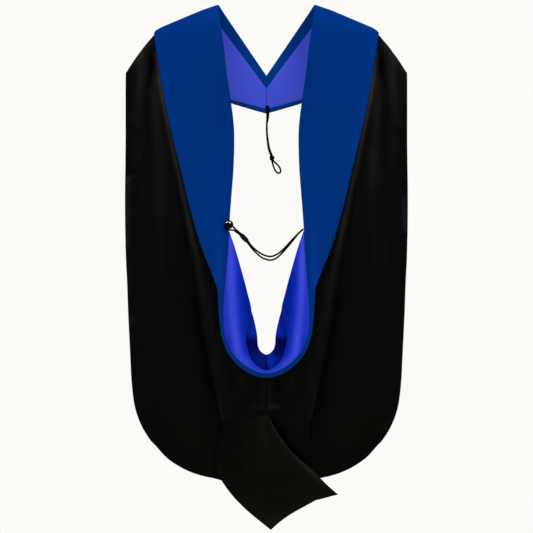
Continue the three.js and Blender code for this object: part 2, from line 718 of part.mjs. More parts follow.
addPair('cape', capePanel(), finishes.black);
addPair('cape_lining', capeLining(), finishes.lining);
addPair('cowl', cowlPanel(), finishes.black);
add('cowl_tail', tailPanel(), finishes.black);
addPair('velvet_band', velvetBand(), finishes.velvet);
addPair('neck_facing', foldedStrip(ridgeRow + 3, 0, 1), finishes.velvet);
addPair('band_lining', foldedStrip(lipFirstRow - 3, 1, lastStation - 1), finishes.satin);
addPair('neck_hem', foldedStrip(ridgeRow + 3, lastStation - 1, lastStation), finishes.velvet);
add('cowl_lining', cowlLining(), finishes.satin);
add('cowl_lining_inner', cowlUnderLining(), finishes.satin);

const button = add('button', ballButton(), finishes.button);
button.position.copy(onForm(buttonSpot.x, buttonSpot.drop, buttonFace));
const buttonAxis = formNormal(buttonSpot.x, buttonSpot.drop);
buttonAxis.applyAxisAngle(new THREE.Vector3(0, 0, 1), buttonLean);
button.quaternion.setFromUnitVectors(new THREE.Vector3(0, 1, 0), buttonAxis);

add('back_cord', cordTube(backCordRoute, 66), finishes.cord);
const slide = add('cord_slide', cordSlide(), finishes.cord);
slide.position.set(...slideCentre);
slide.up.set(0, 1, 0);
slide.lookAt(...slideTarget);

add('front_loop_strand_left', cordTube(loopStrandLeft, 16), finishes.cord);
add('front_loop_strand_right', cordTube(loopStrandRight, 16), finishes.cord);
add('front_loop_end', cordTube(loopEnd, 12), finishes.cord);
add('front_loop_knot', cordKnot(), finishes.cord).position.set(...knotCentre);

export default hood;
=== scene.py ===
"""A doctoral academic hood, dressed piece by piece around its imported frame."""

import logging
import math
from dataclasses import dataclass
from enum import Enum
from typing import Callable, NamedTuple, Sequence

import bmesh
import bpy
import numpy as np
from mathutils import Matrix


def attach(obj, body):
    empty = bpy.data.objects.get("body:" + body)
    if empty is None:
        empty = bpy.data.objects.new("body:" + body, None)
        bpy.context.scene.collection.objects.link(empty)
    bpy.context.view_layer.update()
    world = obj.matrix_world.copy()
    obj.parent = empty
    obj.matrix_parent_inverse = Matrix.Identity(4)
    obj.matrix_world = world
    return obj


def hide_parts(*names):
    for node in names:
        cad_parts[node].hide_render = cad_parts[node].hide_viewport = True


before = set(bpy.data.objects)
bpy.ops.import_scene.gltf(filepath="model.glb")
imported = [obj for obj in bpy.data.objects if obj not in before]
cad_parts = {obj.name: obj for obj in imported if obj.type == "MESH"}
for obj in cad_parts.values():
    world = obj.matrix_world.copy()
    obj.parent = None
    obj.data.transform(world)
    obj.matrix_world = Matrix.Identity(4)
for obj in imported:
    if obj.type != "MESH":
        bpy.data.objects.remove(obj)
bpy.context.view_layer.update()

MM = 0.001
BLACK_GLOSS = 0.0006
BLACK_FLOOR = 0.00003
LOG = logging.getLogger("hood")
Grid = np.ndarray


class Side(Enum):
    """Which half of the hood a piece belongs to, seen from behind."""

    LEFT = "left"
    RIGHT = "right"
    BOTH = "both"


class Cloth(Enum):
    """The record's material slots for woven pieces."""

    CAPE = "cape_cloth"
    COWL = "cowl_cloth"
    LINING = "cape_lining"
    VELVET = "velvet"
    SATIN = "satin"


def mix(a: Grid | float, b: Grid | float, share: Grid | float) -> Grid | float:
    """Value a share of the way from a to b."""
    return a + (b - a) * share


def unit(vectors: Grid) -> Grid:
    """Vectors of length 1 along the last axis."""
    return vectors / np.linalg.norm(vectors, axis=-1, keepdims=True)


def run_of(points: Grid) -> Grid:
    """Length from the first point of a line to each of its points."""
    steps = np.linalg.norm(np.diff(points, axis=0), axis=-1)
    return np.concatenate([np.zeros((1, *steps.shape[1:])), np.cumsum(steps, axis=0)])


def smooth_step(low: float, high: float, value: Grid) -> Grid:
    """Soft ramp from 0 at low to 1 at high."""
    share = np.clip((value - low) / (high - low), 0.0, 1.0)
    return share * share * (3.0 - 2.0 * share)


def bell(value: Grid, centre: float, width: float) -> Grid:
    """Soft bump of height 1 around a centre."""
    return np.exp(-(((value - centre) / width) ** 2))


class Streak(NamedTuple):
    """A soft streak painted onto cloth: painted light where its level rises, painted shade where it falls.

    The width is in millimetres. Points give millimetres out from the centre, millimetres
    down from the neck points, and the change of level there.
    """

    width: float
    points: tuple[tuple[float, float, float], ...]
    side: Side = Side.BOTH


def streaked(points: Grid, side: Side, level: float, streaks: Sequence[Streak]) -> Grid:
    """Light level of a piece at each of its points.

    Args:
        points: places in metres.
        side: the piece's side, or BOTH for a piece across the centre.
        level: level of the plain cloth.
        streaks: what is added to it.

    Returns:
        One level for each point.
    """
    out = points[..., 0] * (-1.0 if side is Side.LEFT else 1.0) / MM
    down = -points[..., 2] / MM
    total = np.full(out.shape, float(level))
    for streak in streaks:
        if side is not Side.BOTH and streak.side not in (Side.BOTH, side):
            continue
        nearest = np.full(out.shape, np.inf)
        gain = np.zeros(out.shape)
        for (x0, y0, g0), (x1, y1, g1) in zip(streak.points, streak.points[1:]):
            length = (x1 - x0) ** 2 + (y1 - y0) ** 2
            along = np.clip(((out - x0) * (x1 - x0) + (down - y0) * (y1 - y0)) / length, 0.0, 1.0)
            away = np.hypot(out - mix(x0, x1, along), down - mix(y0, y1, along))
            gain = np.where(away < nearest, mix(g0, g1, along), gain)
            nearest = np.minimum(nearest, away)
        total += gain * np.exp(-((nearest / streak.width) ** 2))
    return total


def albedo_of(level: Grid) -> Grid:
    """Share of the light that near-black cloth returns at a display level out of 255."""
    shown = np.maximum(level, 0.5) / 255.0
    linear = np.where(shown < 0.04045, shown / 12.92, ((shown + 0.055) / 1.055) ** 2.4)
    return np.maximum(linear - BLACK_GLOSS, BLACK_FLOOR)


class Track:
    """A smooth run of columns through the rows of a short table."""

    def __init__(self, rows: Sequence[Sequence[float]], level_end: bool = False) -> None:
        """Keep the rows and their tangents.

        Args:
            rows: x and drop in metres, then any further columns.
            level_end: whether the last row lies on the centre seam, which it crosses level.
        """
        self.rows = np.asarray(rows, dtype=float)
        steps = np.linalg.norm(np.diff(self.rows[:, :2], axis=0), axis=1)
        self.knots = np.concatenate([[0.0], np.cumsum(np.maximum(steps, 1e-4) ** 0.5)])
        slopes = np.diff(self.rows, axis=0) / np.diff(self.knots)[:, None]
        inner = (slopes[1:] + slopes[:-1]) / 2.0
        self.tangents = np.vstack([slopes[:1], inner, slopes[-1:]])
        if level_end:
            self.tangents[-1, 1:] = 0.0

    def at(self, place: Grid) -> Grid:
        """Columns at row numbers, which may lie between rows.

        Args:
            place: row numbers from 0 to the last row.

        Returns:
            One line of columns for each place.
        """
        place = np.asarray(place, dtype=float)
        low = np.clip(np.floor(place).astype(int), 0, len(self.rows) - 2)
        share = (place - low)[:, None]
        span = (self.knots[low + 1] - self.knots[low])[:, None]
        square, cube = share ** 2, share ** 3
        return (
            (2 * cube - 3 * square + 1) * self.rows[low]
            + (cube - 2 * square + share) * span * self.tangents[low]
            + (3 * square - 2 * cube) * self.rows[low + 1]
            + (cube - square) * span * self.tangents[low + 1]
        )


def even_places(tracks: Sequence[Track], count: int, first: float = 0.0,
                last: float | None = None) -> Grid:
    """Row numbers that cut two tracks into steps of even length.

    Args:
        tracks: the tracks that run side by side.
        count: how many steps to cut.
        first: row number to start at.
        last: row number to end at, or the last row.

    Returns:
        count + 1 row numbers.
    """
    last = len(tracks[0].rows) - 1 if last is None else last
    fine = np.linspace(first, last, count * 6 + 1)
    lengths = np.zeros(len(fine) - 1)
    for track in tracks:
        lengths += np.linalg.norm(np.diff(track.at(fine)[:, :2], axis=0), axis=1)
    total = np.concatenate([[0.0], np.cumsum(lengths)])
    return np.interp(np.linspace(0.0, total[-1], count + 1), total, fine)


@dataclass(frozen=True)
class Form:
    """The wearer's neck and shoulders as a surface of x and drop, in metres.

    A drop is measured below the shoulder line, and it is negative in front.
    """

    half_width: float = 308.5 * MM
    back_depth: float = 112 * MM
    front_depth: float = 90 * MM
    back_roll: float = 170 * MM
    front_roll: float = 130 * MM
    side_room: float = 6.5 * MM
    shoulder_fall: float = 150 * MM
    line_out: tuple[float, ...] = (0.0, 0.34, 0.45, 0.6, 0.752, 0.788, 0.817, 0.862, 0.93, 1.0)
    line_fall: tuple[float, ...] = (0.0, 0.0, 0.08, 0.21, 0.337, 0.381, 0.474, 0.578, 0.764, 0.98)

    def shoulder_height(self, x: Grid) -> Grid:
        """Height of the shoulder line at x."""
        out = np.minimum(np.abs(x) / self.half_width, 1.0)
        return -self.shoulder_fall * np.interp(out, self.line_out, self.line_fall)

    def drop_to(self, x: Grid, down: Grid) -> Grid:
        """Drop below the shoulder line of a place that lies down below the neck points."""
        return down + self.shoulder_height(x)

    def point(self, x: Grid, drop: Grid) -> Grid:
        """Point of the form at x and drop."""
        front = drop < 0
        roll = np.where(front, self.front_roll, self.back_roll)
        share = np.minimum(np.abs(drop) / roll, 1.0)
        reach = np.sqrt(1.0 - (1.0 - share) ** 2)
        across = np.minimum(np.abs(x) / (self.half_width + self.side_room), 1.0)
        depth = np.where(front, self.front_depth, -self.back_depth)
        y = depth * np.sqrt(1.0 - across ** 2) * reach
        return np.stack([x, y, self.shoulder_height(x) - np.abs(drop)], axis=-1)

    def drop_after_turn(self, angle: Grid) -> Grid:
        """Drop reached after turning by an angle over the shoulder line."""
        roll = np.where(angle < 0, self.front_roll, self.back_roll)
        turned = np.minimum(np.abs(angle), math.pi / 2)
        return np.sign(angle) * roll * (1.0 - np.cos(turned) + np.abs(angle) - turned)

    def normal(self, x: Grid, drop: Grid) -> Grid:
        """Outward direction of the form at x and drop."""
        roll = np.where(drop < 0, self.front_roll, self.back_roll)
        share = np.abs(drop) / roll
        turned = np.where(share < 1, np.arccos(1 - np.minimum(share, 1)), math.pi / 2 + share - 1)
        angle = np.sign(drop) * turned
        turn_step, side_step = 0.03, 8 * MM
        ahead = self.point(x, self.drop_after_turn(angle + turn_step))
        behind = self.point(x, self.drop_after_turn(angle - turn_step))
        across = self.point(x + side_step, drop) - self.point(x - side_step, drop)
        return unit(np.cross(ahead - behind, across))

    def raised(self, x: Grid, drop: Grid, lift: Grid) -> Grid:
        """Point raised off the form by a lift."""
        return self.point(x, drop) + self.normal(x, drop) * np.asarray(lift)[..., None]


FORM = Form()


@dataclass(frozen=True)
class Sizes:
    """Driving sizes of the hood, in metres."""

    hood_length: float = 1156 * MM
    cape_drop: float = 1048 * MM
    cowl_drop: float = 820 * MM
    half_neck: float = 106 * MM
    neck_depth: float = 155 * MM
    neckpiece_height: float = 84 * MM
    band_width: float = 139 * MM
    lip_width: float = 8.5 * MM
    seam_gap: float = 0.35 * MM
    lining_gap: float = 0.5 * MM
    cape_wall: float = 1.6 * MM
    cowl_wall: float = 1.6 * MM
    tail_wall: float = 2.4 * MM
    velvet_wall: float = 2.4 * MM
    lining_wall: float = 1.0 * MM
    band_crown: float = 4 * MM
    cowl_swell: float = 26 * MM
    satin_roll: float = 11 * MM
    cape_fold: float = 6 * MM


SIZE = Sizes()


class BandRow(NamedTuple):
    """A section of the band: shares of the sizes named in band_tracks."""

    inner: float
    fall: float
    span: float
    slip: float
    lift: float = 0.0


FRONT_BAND = (
    BandRow(0.0, 1.0, 0.0, 1.0), BandRow(0.168, 0.832, 0.15, 1.18),
    BandRow(0.43, 0.57, 0.33, 1.45), BandRow(0.69, 0.31, 0.58, 1.43),
    BandRow(0.866, 0.135, 0.82, 1.04), BandRow(0.95, 0.046, 0.96, 0.51),
    BandRow(0.985, 0.011, 0.99, 0.155), BandRow(1.0, 0.0, 1.015, 0.0),
)
BACK_BAND = (
    BandRow(0.99, 0.006, 1.02, 0.0), BandRow(0.97, 0.027, 1.022, 0.0),
    BandRow(0.931, 0.07, 1.022, -0.02), BandRow(0.875, 0.122, 1.02, -0.04),
    BandRow(0.826, 0.179, 1.01, -0.05), BandRow(0.741, 0.254, 0.996, -0.072),
    BandRow(0.67, 0.335, 0.964, -0.13, 0.02), BandRow(0.676, 0.429, 0.852, -0.223, 0.085),
    BandRow(0.717, 0.507, 0.712, -0.173, 0.16), BandRow(0.757, 0.578, 0.571, -0.137, 0.24),
    BandRow(0.787, 0.646, 0.428, -0.1, 0.35), BandRow(0.819, 0.701, 0.259, 0.0, 0.47),
    BandRow(0.852, 0.756, 0.12, 0.019, 0.59),
)
LIP = (
    BandRow(0.875, 0.799, 1.3, 0.59, 0.67), BandRow(0.881, 0.8415, 0.94, 0.24, 0.74),
    BandRow(0.854, 0.885, 0.7, 0.33, 0.82), BandRow(0.74, 0.9256, 0.58, 0.72, 0.89),
    BandRow(0.556, 0.955, 0.36, 1.12, 0.95), BandRow(0.316, 0.979, 0.09, 1.14, 0.99),
    BandRow(0.0, 0.9915, 0.0, 0.98, 1.0),
)
RIDGE_ROW = len(FRONT_BAND) - 1
CAPE_FIRST_ROW = RIDGE_ROW - 2
COWL_FIRST_ROW = RIDGE_ROW + 8
SATIN_FIRST_ROW = RIDGE_ROW + 10
LIP_FIRST_ROW = len(FRONT_BAND) + len(BACK_BAND)
LAST_BAND_ROW = LIP_FIRST_ROW + len(LIP) - 1


def band_rows(table: Sequence[BandRow], fall: float, span: float, slip: float) -> list[list[float]]:
    """Inner and outer edges of a run of band sections.

    Args:
        table: the sections.
        fall: length that a section's fall is a share of.
        span: length that its span is a share of.
        slip: length that its slip is a share of.

    Returns:
        Rows of inner x, inner drop, outer x, outer drop and lift.
    """
    rows = []
    for row in table:
        x = -SIZE.half_neck * row.inner
        drop = fall * row.fall
        rows.append([x, drop, x - span * row.span, drop + slip * row.slip,
                     SIZE.cowl_swell * row.lift])
    return rows


def band_tracks() -> tuple[Track, Track]:
    """The band's inner and outer edges on the left, from the front seam to the U."""
    rows = band_rows(FRONT_BAND, -SIZE.neck_depth, SIZE.band_width, -SIZE.neckpiece_height)
    rows += band_rows(BACK_BAND, SIZE.cowl_drop, SIZE.band_width, SIZE.band_width)
    rows += band_rows(LIP, SIZE.cowl_drop, SIZE.lip_width, SIZE.lip_width)
    table = np.array(rows)
    return Track(table[:, [0, 1, 4]], level_end=True), Track(table[:, [2, 3, 4]], level_end=True)


BAND_INNER, BAND_OUTER = band_tracks()


class Wall:
    """A closed wall of cloth between an under and an upper grid of points."""

    def __init__(self, name: str, under: Grid, upper: Grid) -> None:
        """Keep both layers.

        Args:
            name: the piece's name.
            under: rows by columns by 3, the inner side.
            upper: the same grid on the outer side.
        """
        self.name = name
        self.under = under
        self.upper = upper
        self.masks: dict[str, Grid] = {}

    def both_sides(self) -> tuple[tuple[Side, "Wall"], tuple[Side, "Wall"]]:
        """This left wall, and the same wall on the right side, each with its side."""
        flip = np.array([-1.0, 1.0, 1.0])
        name = self.name.replace(Side.LEFT.value, Side.RIGHT.value)
        right = Wall(name, self.under[:, ::-1] * flip, self.upper[:, ::-1] * flip)
        return (Side.LEFT, self), (Side.RIGHT, right)

    def flat_size(self) -> tuple[float, float, float]:
        """Width, length and area of the cloth before it was hung."""
        middle = (self.under + self.upper) / 2
        across, along = run_of(middle.transpose(1, 0, 2))[-1], run_of(middle)[-1]
        first = np.cross(middle[1:, :-1] - middle[:-1, :-1], middle[:-1, 1:] - middle[:-1, :-1])
        second = np.cross(middle[1:, 1:] - middle[:-1, 1:], middle[1:, 1:] - middle[1:, :-1])
        area = (np.linalg.norm(first, axis=2).sum() + np.linalg.norm(second, axis=2).sum()) / 2
        return float(across.max()), float(along.max()), float(area)

    def build(self, levels: int = 1) -> bpy.types.Object:
        """Make the wall's mesh object, with a UV map in metres.

        Args:
            levels: subdivision levels that round the cloth and its edges.

        Returns:
            The new object at the origin.
        """
        rows, columns = self.under.shape[:2]
        points = np.concatenate([self.under.reshape(-1, 3), self.upper.reshape(-1, 3)])
        index = np.arange(rows * columns).reshape(rows, columns)
        low, high = index, index + rows * columns
        faces = [
            np.stack([high[:-1, :-1], high[1:, :-1], high[1:, 1:], high[:-1, 1:]], -1).reshape(-1, 4),
            np.stack([low[:-1, :-1], low[:-1, 1:], low[1:, 1:], low[1:, :-1]], -1).reshape(-1, 4),
            np.stack([low[:-1, 0], low[1:, 0], high[1:, 0], high[:-1, 0]], -1),
            np.stack([low[:-1, -1], high[:-1, -1], high[1:, -1], low[1:, -1]], -1),
            np.stack([low[0, :-1], high[0, :-1], high[0, 1:], low[0, 1:]], -1),
            np.stack([low[-1, :-1], low[-1, 1:], high[-1, 1:], high[-1, :-1]], -1),
        ]
        quads = np.concatenate(faces)
        mesh = mesh_of_quads(self.name, points, quads)
        middle = (self.under + self.upper) / 2
        across, along = run_of(middle.transpose(1, 0, 2)).T, run_of(middle)
        flat = np.stack([across.ravel(), along.ravel()], axis=1)
        lay_uv(mesh, np.concatenate([flat, flat]))
        for label, values in self.masks.items():
            layer = mesh.attributes.new(label, "FLOAT", "POINT")
            both = np.concatenate([values.ravel(), values.ravel()])
            layer.data.foreach_set("value", both.astype(np.float32))
        piece = placed(mesh)
        if levels:
            soften = piece.modifiers.new("soften", "SUBSURF")
            soften.levels = levels
            soften.render_levels = levels
        return piece


def mesh_of_quads(name: str, points: Grid, quads: Grid) -> bpy.types.Mesh:
    """Mesh of four-sided faces, all smooth.

    Args:
        name: the mesh's name.
        points: corner points in metres.
        quads: four corner numbers for each face.

    Returns:
        The new mesh, with its faces pointing as the quads run.
    """
    mesh = bpy.data.meshes.new(name)
    mesh.vertices.add(len(points))
    mesh.vertices.foreach_set("co", np.asarray(points, dtype=np.float32).ravel())
    mesh.loops.add(len(quads) * 4)
    mesh.loops.foreach_set("vertex_index", np.asarray(quads, dtype=np.int32).ravel())
    mesh.polygons.add(len(quads))
    mesh.polygons.foreach_set("loop_start", np.arange(0, len(quads) * 4, 4, dtype=np.int32))
    mesh.update(calc_edges=True)
    mesh.polygons.foreach_set("use_smooth", np.ones(len(quads), dtype=bool))
    mesh.update()
    return mesh


def placed(mesh: bpy.types.Mesh) -> bpy.types.Object:
    """Object at the origin that holds a mesh and has its name."""
    piece = bpy.data.objects.new(mesh.name, mesh)
    bpy.context.collection.objects.link(piece)
    return piece


def ringed(name: str, rings: Grid, joined: bool = False) -> bpy.types.Object:
    """Closed skin through rings of points.

    Args:
        name: the piece's name.
        rings: rings by points by 3, in metres.
        joined: whether the last ring meets the first, as on a sleeve; else both ends are capped.

    Returns:
        The new object.
    """
    count, sides = rings.shape[:2]
    index = np.arange(count * sides).reshape(count, sides)
    ahead, beside = np.roll(index, -1, axis=0), np.roll(index, -1, axis=1)
    quads = np.stack([index, beside, np.roll(ahead, -1, axis=1), ahead], -1)
    quads = quads if joined else quads[:-1]
    mesh = mesh_of_quads(name, rings.reshape(-1, 3), quads.reshape(-1, 4))
    work = bmesh.new()
    work.from_mesh(mesh)
    work.verts.ensure_lookup_table()
    for ring in () if joined else (index[0], index[-1]):
        work.faces.new([work.verts[int(k)] for k in ring])
    bmesh.ops.recalc_face_normals(work, faces=work.faces)
    work.to_mesh(mesh)
    work.free()
    return placed(mesh)


def lay_uv(mesh: bpy.types.Mesh, flat: Grid) -> None:
    """Give a mesh a UV map from a flat place for each of its points."""
    layer = mesh.uv_layers.new(name="cloth")
    corners = np.empty(len(mesh.loops), dtype=np.int32)
    mesh.loops.foreach_get("vertex_index", corners)
    layer.data.foreach_set("uv", flat[corners].astype(np.float32).ravel())


Lift = Callable[[Grid, Grid], Grid]


def widths(first: Track, second: Track, places: Grid) -> Grid:
    """Distance between two tracks at row numbers, as a column."""
    gap = first.at(places)[:, :2] - second.at(places)[:, :2]
    return np.hypot(gap[:, 0], gap[:, 1])[:, None]


def crowded(count: int, crowd: float) -> Grid:
    """Shares from 0 to 1 that crowd towards 0, with one more close to 1."""
    shares = np.linspace(0.0, 1.0, count) ** crowd
    return np.insert(shares, count - 1, 0.992)


def wall_between(name: str, first: Track, second: Track, places: Grid, shares: Grid,
                 lift: Lift, low: float, high: float | Grid) -> Wall:
    """Wall of cloth laid on the form between two tracks.

    Args:
        name: the piece's name.
        first: track at share 0.
        second: track at share 1.
        places: row numbers of the grid's rows.
        shares: shares of the way across for its columns, for all rows or row by row.
        lift: gives the under side's height from places and shares.
        low: added to the lift for the under layer.
        high: added to the lift for the upper layer.

    Returns:
        The wall.
    """
    start, end = first.at(places)[:, None], second.at(places)[:, None]
    across = np.broadcast_to(np.atleast_2d(shares), (len(places), np.shape(shares)[-1]))
    x = mix(start[..., 0], end[..., 0], across)
    drop = mix(start[..., 1], end[..., 1], across)
    height = lift(places[:, None] + 0 * across, across)
    return Wall(name, FORM.raised(x, drop, height + low), FORM.raised(x, drop, height + high))


class NodeBench:
    """Short ways to lay out a node tree, with a group's own input and output nodes."""

    source: bpy.types.Node
    result: bpy.types.Node

    def __init__(self, tree: bpy.types.NodeTree) -> None:
        """Work on a tree."""
        self.tree = tree

    def node(self, kind: str, values: dict[str | int, object] | None = None,
             **settings: object) -> bpy.types.Node:
        """Add a node.

        Args:
            kind: the node's type name.
            values: for its inputs, by name or number: the numbers they hold or the sockets
                that feed them.
            settings: the node's own properties.

        Returns:
            The node.
        """
        made = self.tree.nodes.new(kind)
        for name, value in settings.items():
            setattr(made, name, value)
        for name, value in (values or {}).items():
            if isinstance(value, bpy.types.NodeSocket):
                self.tree.links.new(value, made.inputs[name])
            else:
                made.inputs[name].default_value = value
        return made

    def math(self, operation: str, *numbers: object) -> bpy.types.NodeSocket:
        """Output of a Math node over sockets or numbers."""
        return self.node("ShaderNodeMath", dict(enumerate(numbers)), operation=operation).outputs[0]

    def link(self, start: bpy.types.NodeSocket, end: bpy.types.NodeSocket) -> None:
        """Join two sockets."""
        self.tree.links.new(start, end)


def new_group(name: str, inputs: dict[str, float], outputs: dict[str, str]) -> NodeBench:
    """Empty shader node group with float inputs.

    Args:
        name: the group's name.
        inputs: float input names and their defaults.
        outputs: output names and their socket types.

    Returns:
        A bench on the group, holding its input and output nodes.
    """
    group = bpy.data.node_groups.new(name, "ShaderNodeTree")
    for label, value in inputs.items():
        socket = group.interface.new_socket(label, in_out="INPUT", socket_type="NodeSocketFloat")
        socket.default_value = value
    for label, kind in outputs.items():
        group.interface.new_socket(label, in_out="OUTPUT", socket_type=kind)
    bench = NodeBench(group)
    bench.source = bench.node("NodeGroupInput")
    bench.result = bench.node("NodeGroupOutput")
    return bench


def weave_group() -> bpy.types.NodeTree:
    """Plain weave from the UV map: crossing threads as a height."""
    bench = new_group("woven threads", {"Thread": 0.0005},
                      {"Height": "NodeSocketFloat"})
    place = bench.node("ShaderNodeUVMap", uv_map="cloth")
    split = bench.node("ShaderNodeSeparateXYZ", {0: place.outputs["UV"]})
    turns = bench.math("DIVIDE", math.pi, bench.source.outputs["Thread"])
    warp = bench.math("SINE", bench.math("MULTIPLY", split.outputs["X"], turns))
    weft = bench.math("SINE", bench.math("MULTIPLY", split.outputs["Y"], turns))
    height = bench.math("MULTIPLY_ADD", bench.math("MULTIPLY", warp, weft), 0.5, 0.5)
    bench.link(height, bench.result.inputs["Height"])
    return bench.tree


def stretched_place(bench: NodeBench, upward: float) -> bpy.types.NodeSocket:
    """Place on the object, with its height scaled so that a pattern runs up and down."""
    place = bench.node("ShaderNodeTexCoord").outputs["Object"]
    return bench.node("ShaderNodeMapping", {"Scale": (1.0, 1.0, upward), "Vector": place}).outputs[0]


def pile_group() -> bpy.types.NodeTree:
    """Cut pile: fine tufts as a height, and how the nap lies as a mask."""
    bench = new_group("cut pile", {"Tuft": 900.0, "Nap": 14.0},
                      {"Height": "NodeSocketFloat", "Shade": "NodeSocketFloat"})
    place = bench.node("ShaderNodeTexCoord").outputs["Object"]
    tufts = bench.node("ShaderNodeTexNoise", {
        "Vector": place, "Scale": bench.source.outputs["Tuft"], "Detail": 2.0, "Roughness": 0.7})
    nap = bench.node("ShaderNodeTexNoise", {
        "Vector": stretched_place(bench, 0.35), "Scale": bench.source.outputs["Nap"],
        "Detail": 3.0, "Roughness": 0.55})
    bench.link(tufts.outputs["Fac"], bench.result.inputs["Height"])
    bench.link(nap.outputs["Fac"], bench.result.inputs["Shade"])
    return bench.tree


def handling_group() -> bpy.types.NodeTree:
    """Slight creasing and shade differences of cloth that has been handled."""
    bench = new_group("handled cloth", {"Crease": 9.0},
                      {"Shade": "NodeSocketFloat", "Crease": "NodeSocketFloat"})
    place = stretched_place(bench, 0.3)
    shade = bench.node("ShaderNodeTexNoise", {"Vector": place, "Scale": 5.0, "Detail": 2.0})
    crease = bench.node("ShaderNodeTexNoise", {
        "Vector": place, "Scale": bench.source.outputs["Crease"], "Detail": 4.0, "Roughness": 0.5,
        "Distortion": 0.4})
    bench.link(shade.outputs["Fac"], bench.result.inputs["Shade"])
    bench.link(crease.outputs["Fac"], bench.result.inputs["Crease"])
    return bench.tree


Colour = tuple[float, float, float]
Socket = bpy.types.NodeSocket
Groups = dict[str, bpy.types.NodeTree]


@dataclass(frozen=True)
class Finish:
    """A finish: its colour, gloss, sheen and relief."""

    name: str
    tint: Colour
    roughness: float
    specular: float
    gloss_tint: Colour = (1.0, 1.0, 1.0)
    sheen: float = 0.0
    sheen_roughness: float = 0.5
    sheen_tint: Colour = (1.0, 1.0, 1.0)
    thread: float = 0.0
    relief: float = 0.0
    pile: float = 0.0
    crease: float = 0.0

    def colour(self, bench: NodeBench, groups: Groups) -> Socket | tuple[float, ...]:
        """Socket that gives the base colour, or one colour all over."""
        return (*self.tint, 1.0)

    def build(self, groups: Groups) -> bpy.types.Material:
        """Make the material.

        Args:
            groups: the shared effects by name.

        Returns:
            The finished material.
        """
        material = bpy.data.materials.new(self.name)
        material.use_nodes = True
        bench = NodeBench(material.node_tree)
        material.node_tree.nodes.clear()
        shader = bench.node("ShaderNodeBsdfPrincipled", {
            "Base Color": self.colour(bench, groups), "Roughness": self.roughness,
            "Specular IOR Level": self.specular, "Specular Tint": (*self.gloss_tint, 1.0),
            "Sheen Weight": self.sheen, "Sheen Roughness": self.sheen_roughness,
            "Sheen Tint": (*self.sheen_tint, 1.0)})
        bench.node("ShaderNodeOutputMaterial", {"Surface": shader.outputs["BSDF"]})
        normal = self.relief_normal(bench, groups)
        if normal is not None:
            bench.link(normal, shader.inputs["Normal"])
        return material

    def relief_normal(self, bench: NodeBench, groups: Groups) -> Socket | None:
        """Chain of bumps for creases, pile and woven threads."""
        normal = None
        for depth, group, output in ((self.crease, "handled", "Crease"), (self.pile, "pile", "Height"),
                                     (self.relief, "weave", "Height")):
            if not depth:
                continue
            effect = bench.node("ShaderNodeGroup", node_tree=groups[group])
            if group == "weave":
                effect.inputs["Thread"].default_value = self.thread
            bump = bench.node("ShaderNodeBump", {
                "Distance": depth, "Strength": 1.0, "Height": effect.outputs[output]})
            if normal is not None:
                bench.link(normal, bump.inputs["Normal"])
            normal = bump.outputs["Normal"]
        return normal


@dataclass(frozen=True)
class ToneFinish(Finish):
    """A finish whose colour runs through stops, led by the cloth's tone and a soft mottle; on the velvet
    band and the cowl's satin the tone holds painted light and painted shade.
    """

    stops: tuple[tuple[float, Colour], ...] = ()
    mottle: float = 0.1
    effect: str = "handled"

    def colour(self, bench: NodeBench, groups: Groups) -> Socket:
        """Colour ramp over tone and mottle."""
        tone = bench.node("ShaderNodeAttribute", attribute_name="tone")
        group = bench.node("ShaderNodeGroup", node_tree=groups[self.effect])
        soft = bench.math("SUBTRACT", group.outputs["Shade"], 0.5)
        place = bench.math("ADD", tone.outputs["Fac"], bench.math("MULTIPLY", soft, self.mottle))
        ramp = bench.node("ShaderNodeValToRGB")
        points = ramp.color_ramp.elements
        for k, (position, colour) in enumerate(self.stops):
            point = points[k] if k < len(points) else points.new(position)
            point.position = position
            point.color = (*colour, 1.0)
        bench.link(place, ramp.inputs["Fac"])
        return ramp.outputs["Color"]


@dataclass(frozen=True)
class BlackFinish(Finish):
    """Near-black cloth: its tone is its albedo, painted light and shade included, with painted warm light
    below a height and blue where the glow mask marks the lining's blue and painted light at an edge.
    """

    # Painted warm light on the lower cloth, from warm_from down to warm_to.
    warm: Colour = (1.14, 1.0, 0.7)
    # Tint where the glow mask is set: the lining's own blue at the edges, with painted light.
    blue: Colour = (0.85, 0.87, 1.32)
    warm_from: float = -0.895
    warm_to: float = -0.93
    mottle: float = 0.25

    def colour(self, bench: NodeBench, groups: Groups) -> Socket:
        """Tone times a tint."""
        tone = bench.node("ShaderNodeAttribute", attribute_name="tone")
        glow = bench.node("ShaderNodeAttribute", attribute_name="glow")
        handled = bench.node("ShaderNodeGroup", node_tree=groups["handled"])
        soft = bench.math("MULTIPLY", bench.math("SUBTRACT", handled.outputs["Shade"], 0.5),
                          self.mottle)
        level = bench.math("MULTIPLY", tone.outputs["Fac"], bench.math("ADD", soft, 1.0))
        # Painted warm light, growing below a height.
        place = bench.node("ShaderNodeTexCoord")
        split = bench.node("ShaderNodeSeparateXYZ", {0: place.outputs["Object"]})
        low = bench.node("ShaderNodeMapRange", {
            "Value": split.outputs["Z"], "From Min": self.warm_from, "From Max": self.warm_to})
        warmed = bench.node("ShaderNodeMix", data_type="RGBA", values={
            0: low.outputs["Result"], 6: (*self.tint, 1.0), 7: (*self.warm, 1.0)})
        # Blue where the glow mask is set: the lining's own blue at the edge, with painted light.
        tinted = bench.node("ShaderNodeMix", data_type="RGBA", values={
            0: glow.outputs["Fac"], 6: warmed.outputs[2], 7: (*self.blue, 1.0)})
        return bench.node("ShaderNodeVectorMath", {0: tinted.outputs[2], "Scale": level},
                          operation="SCALE").outputs["Vector"]
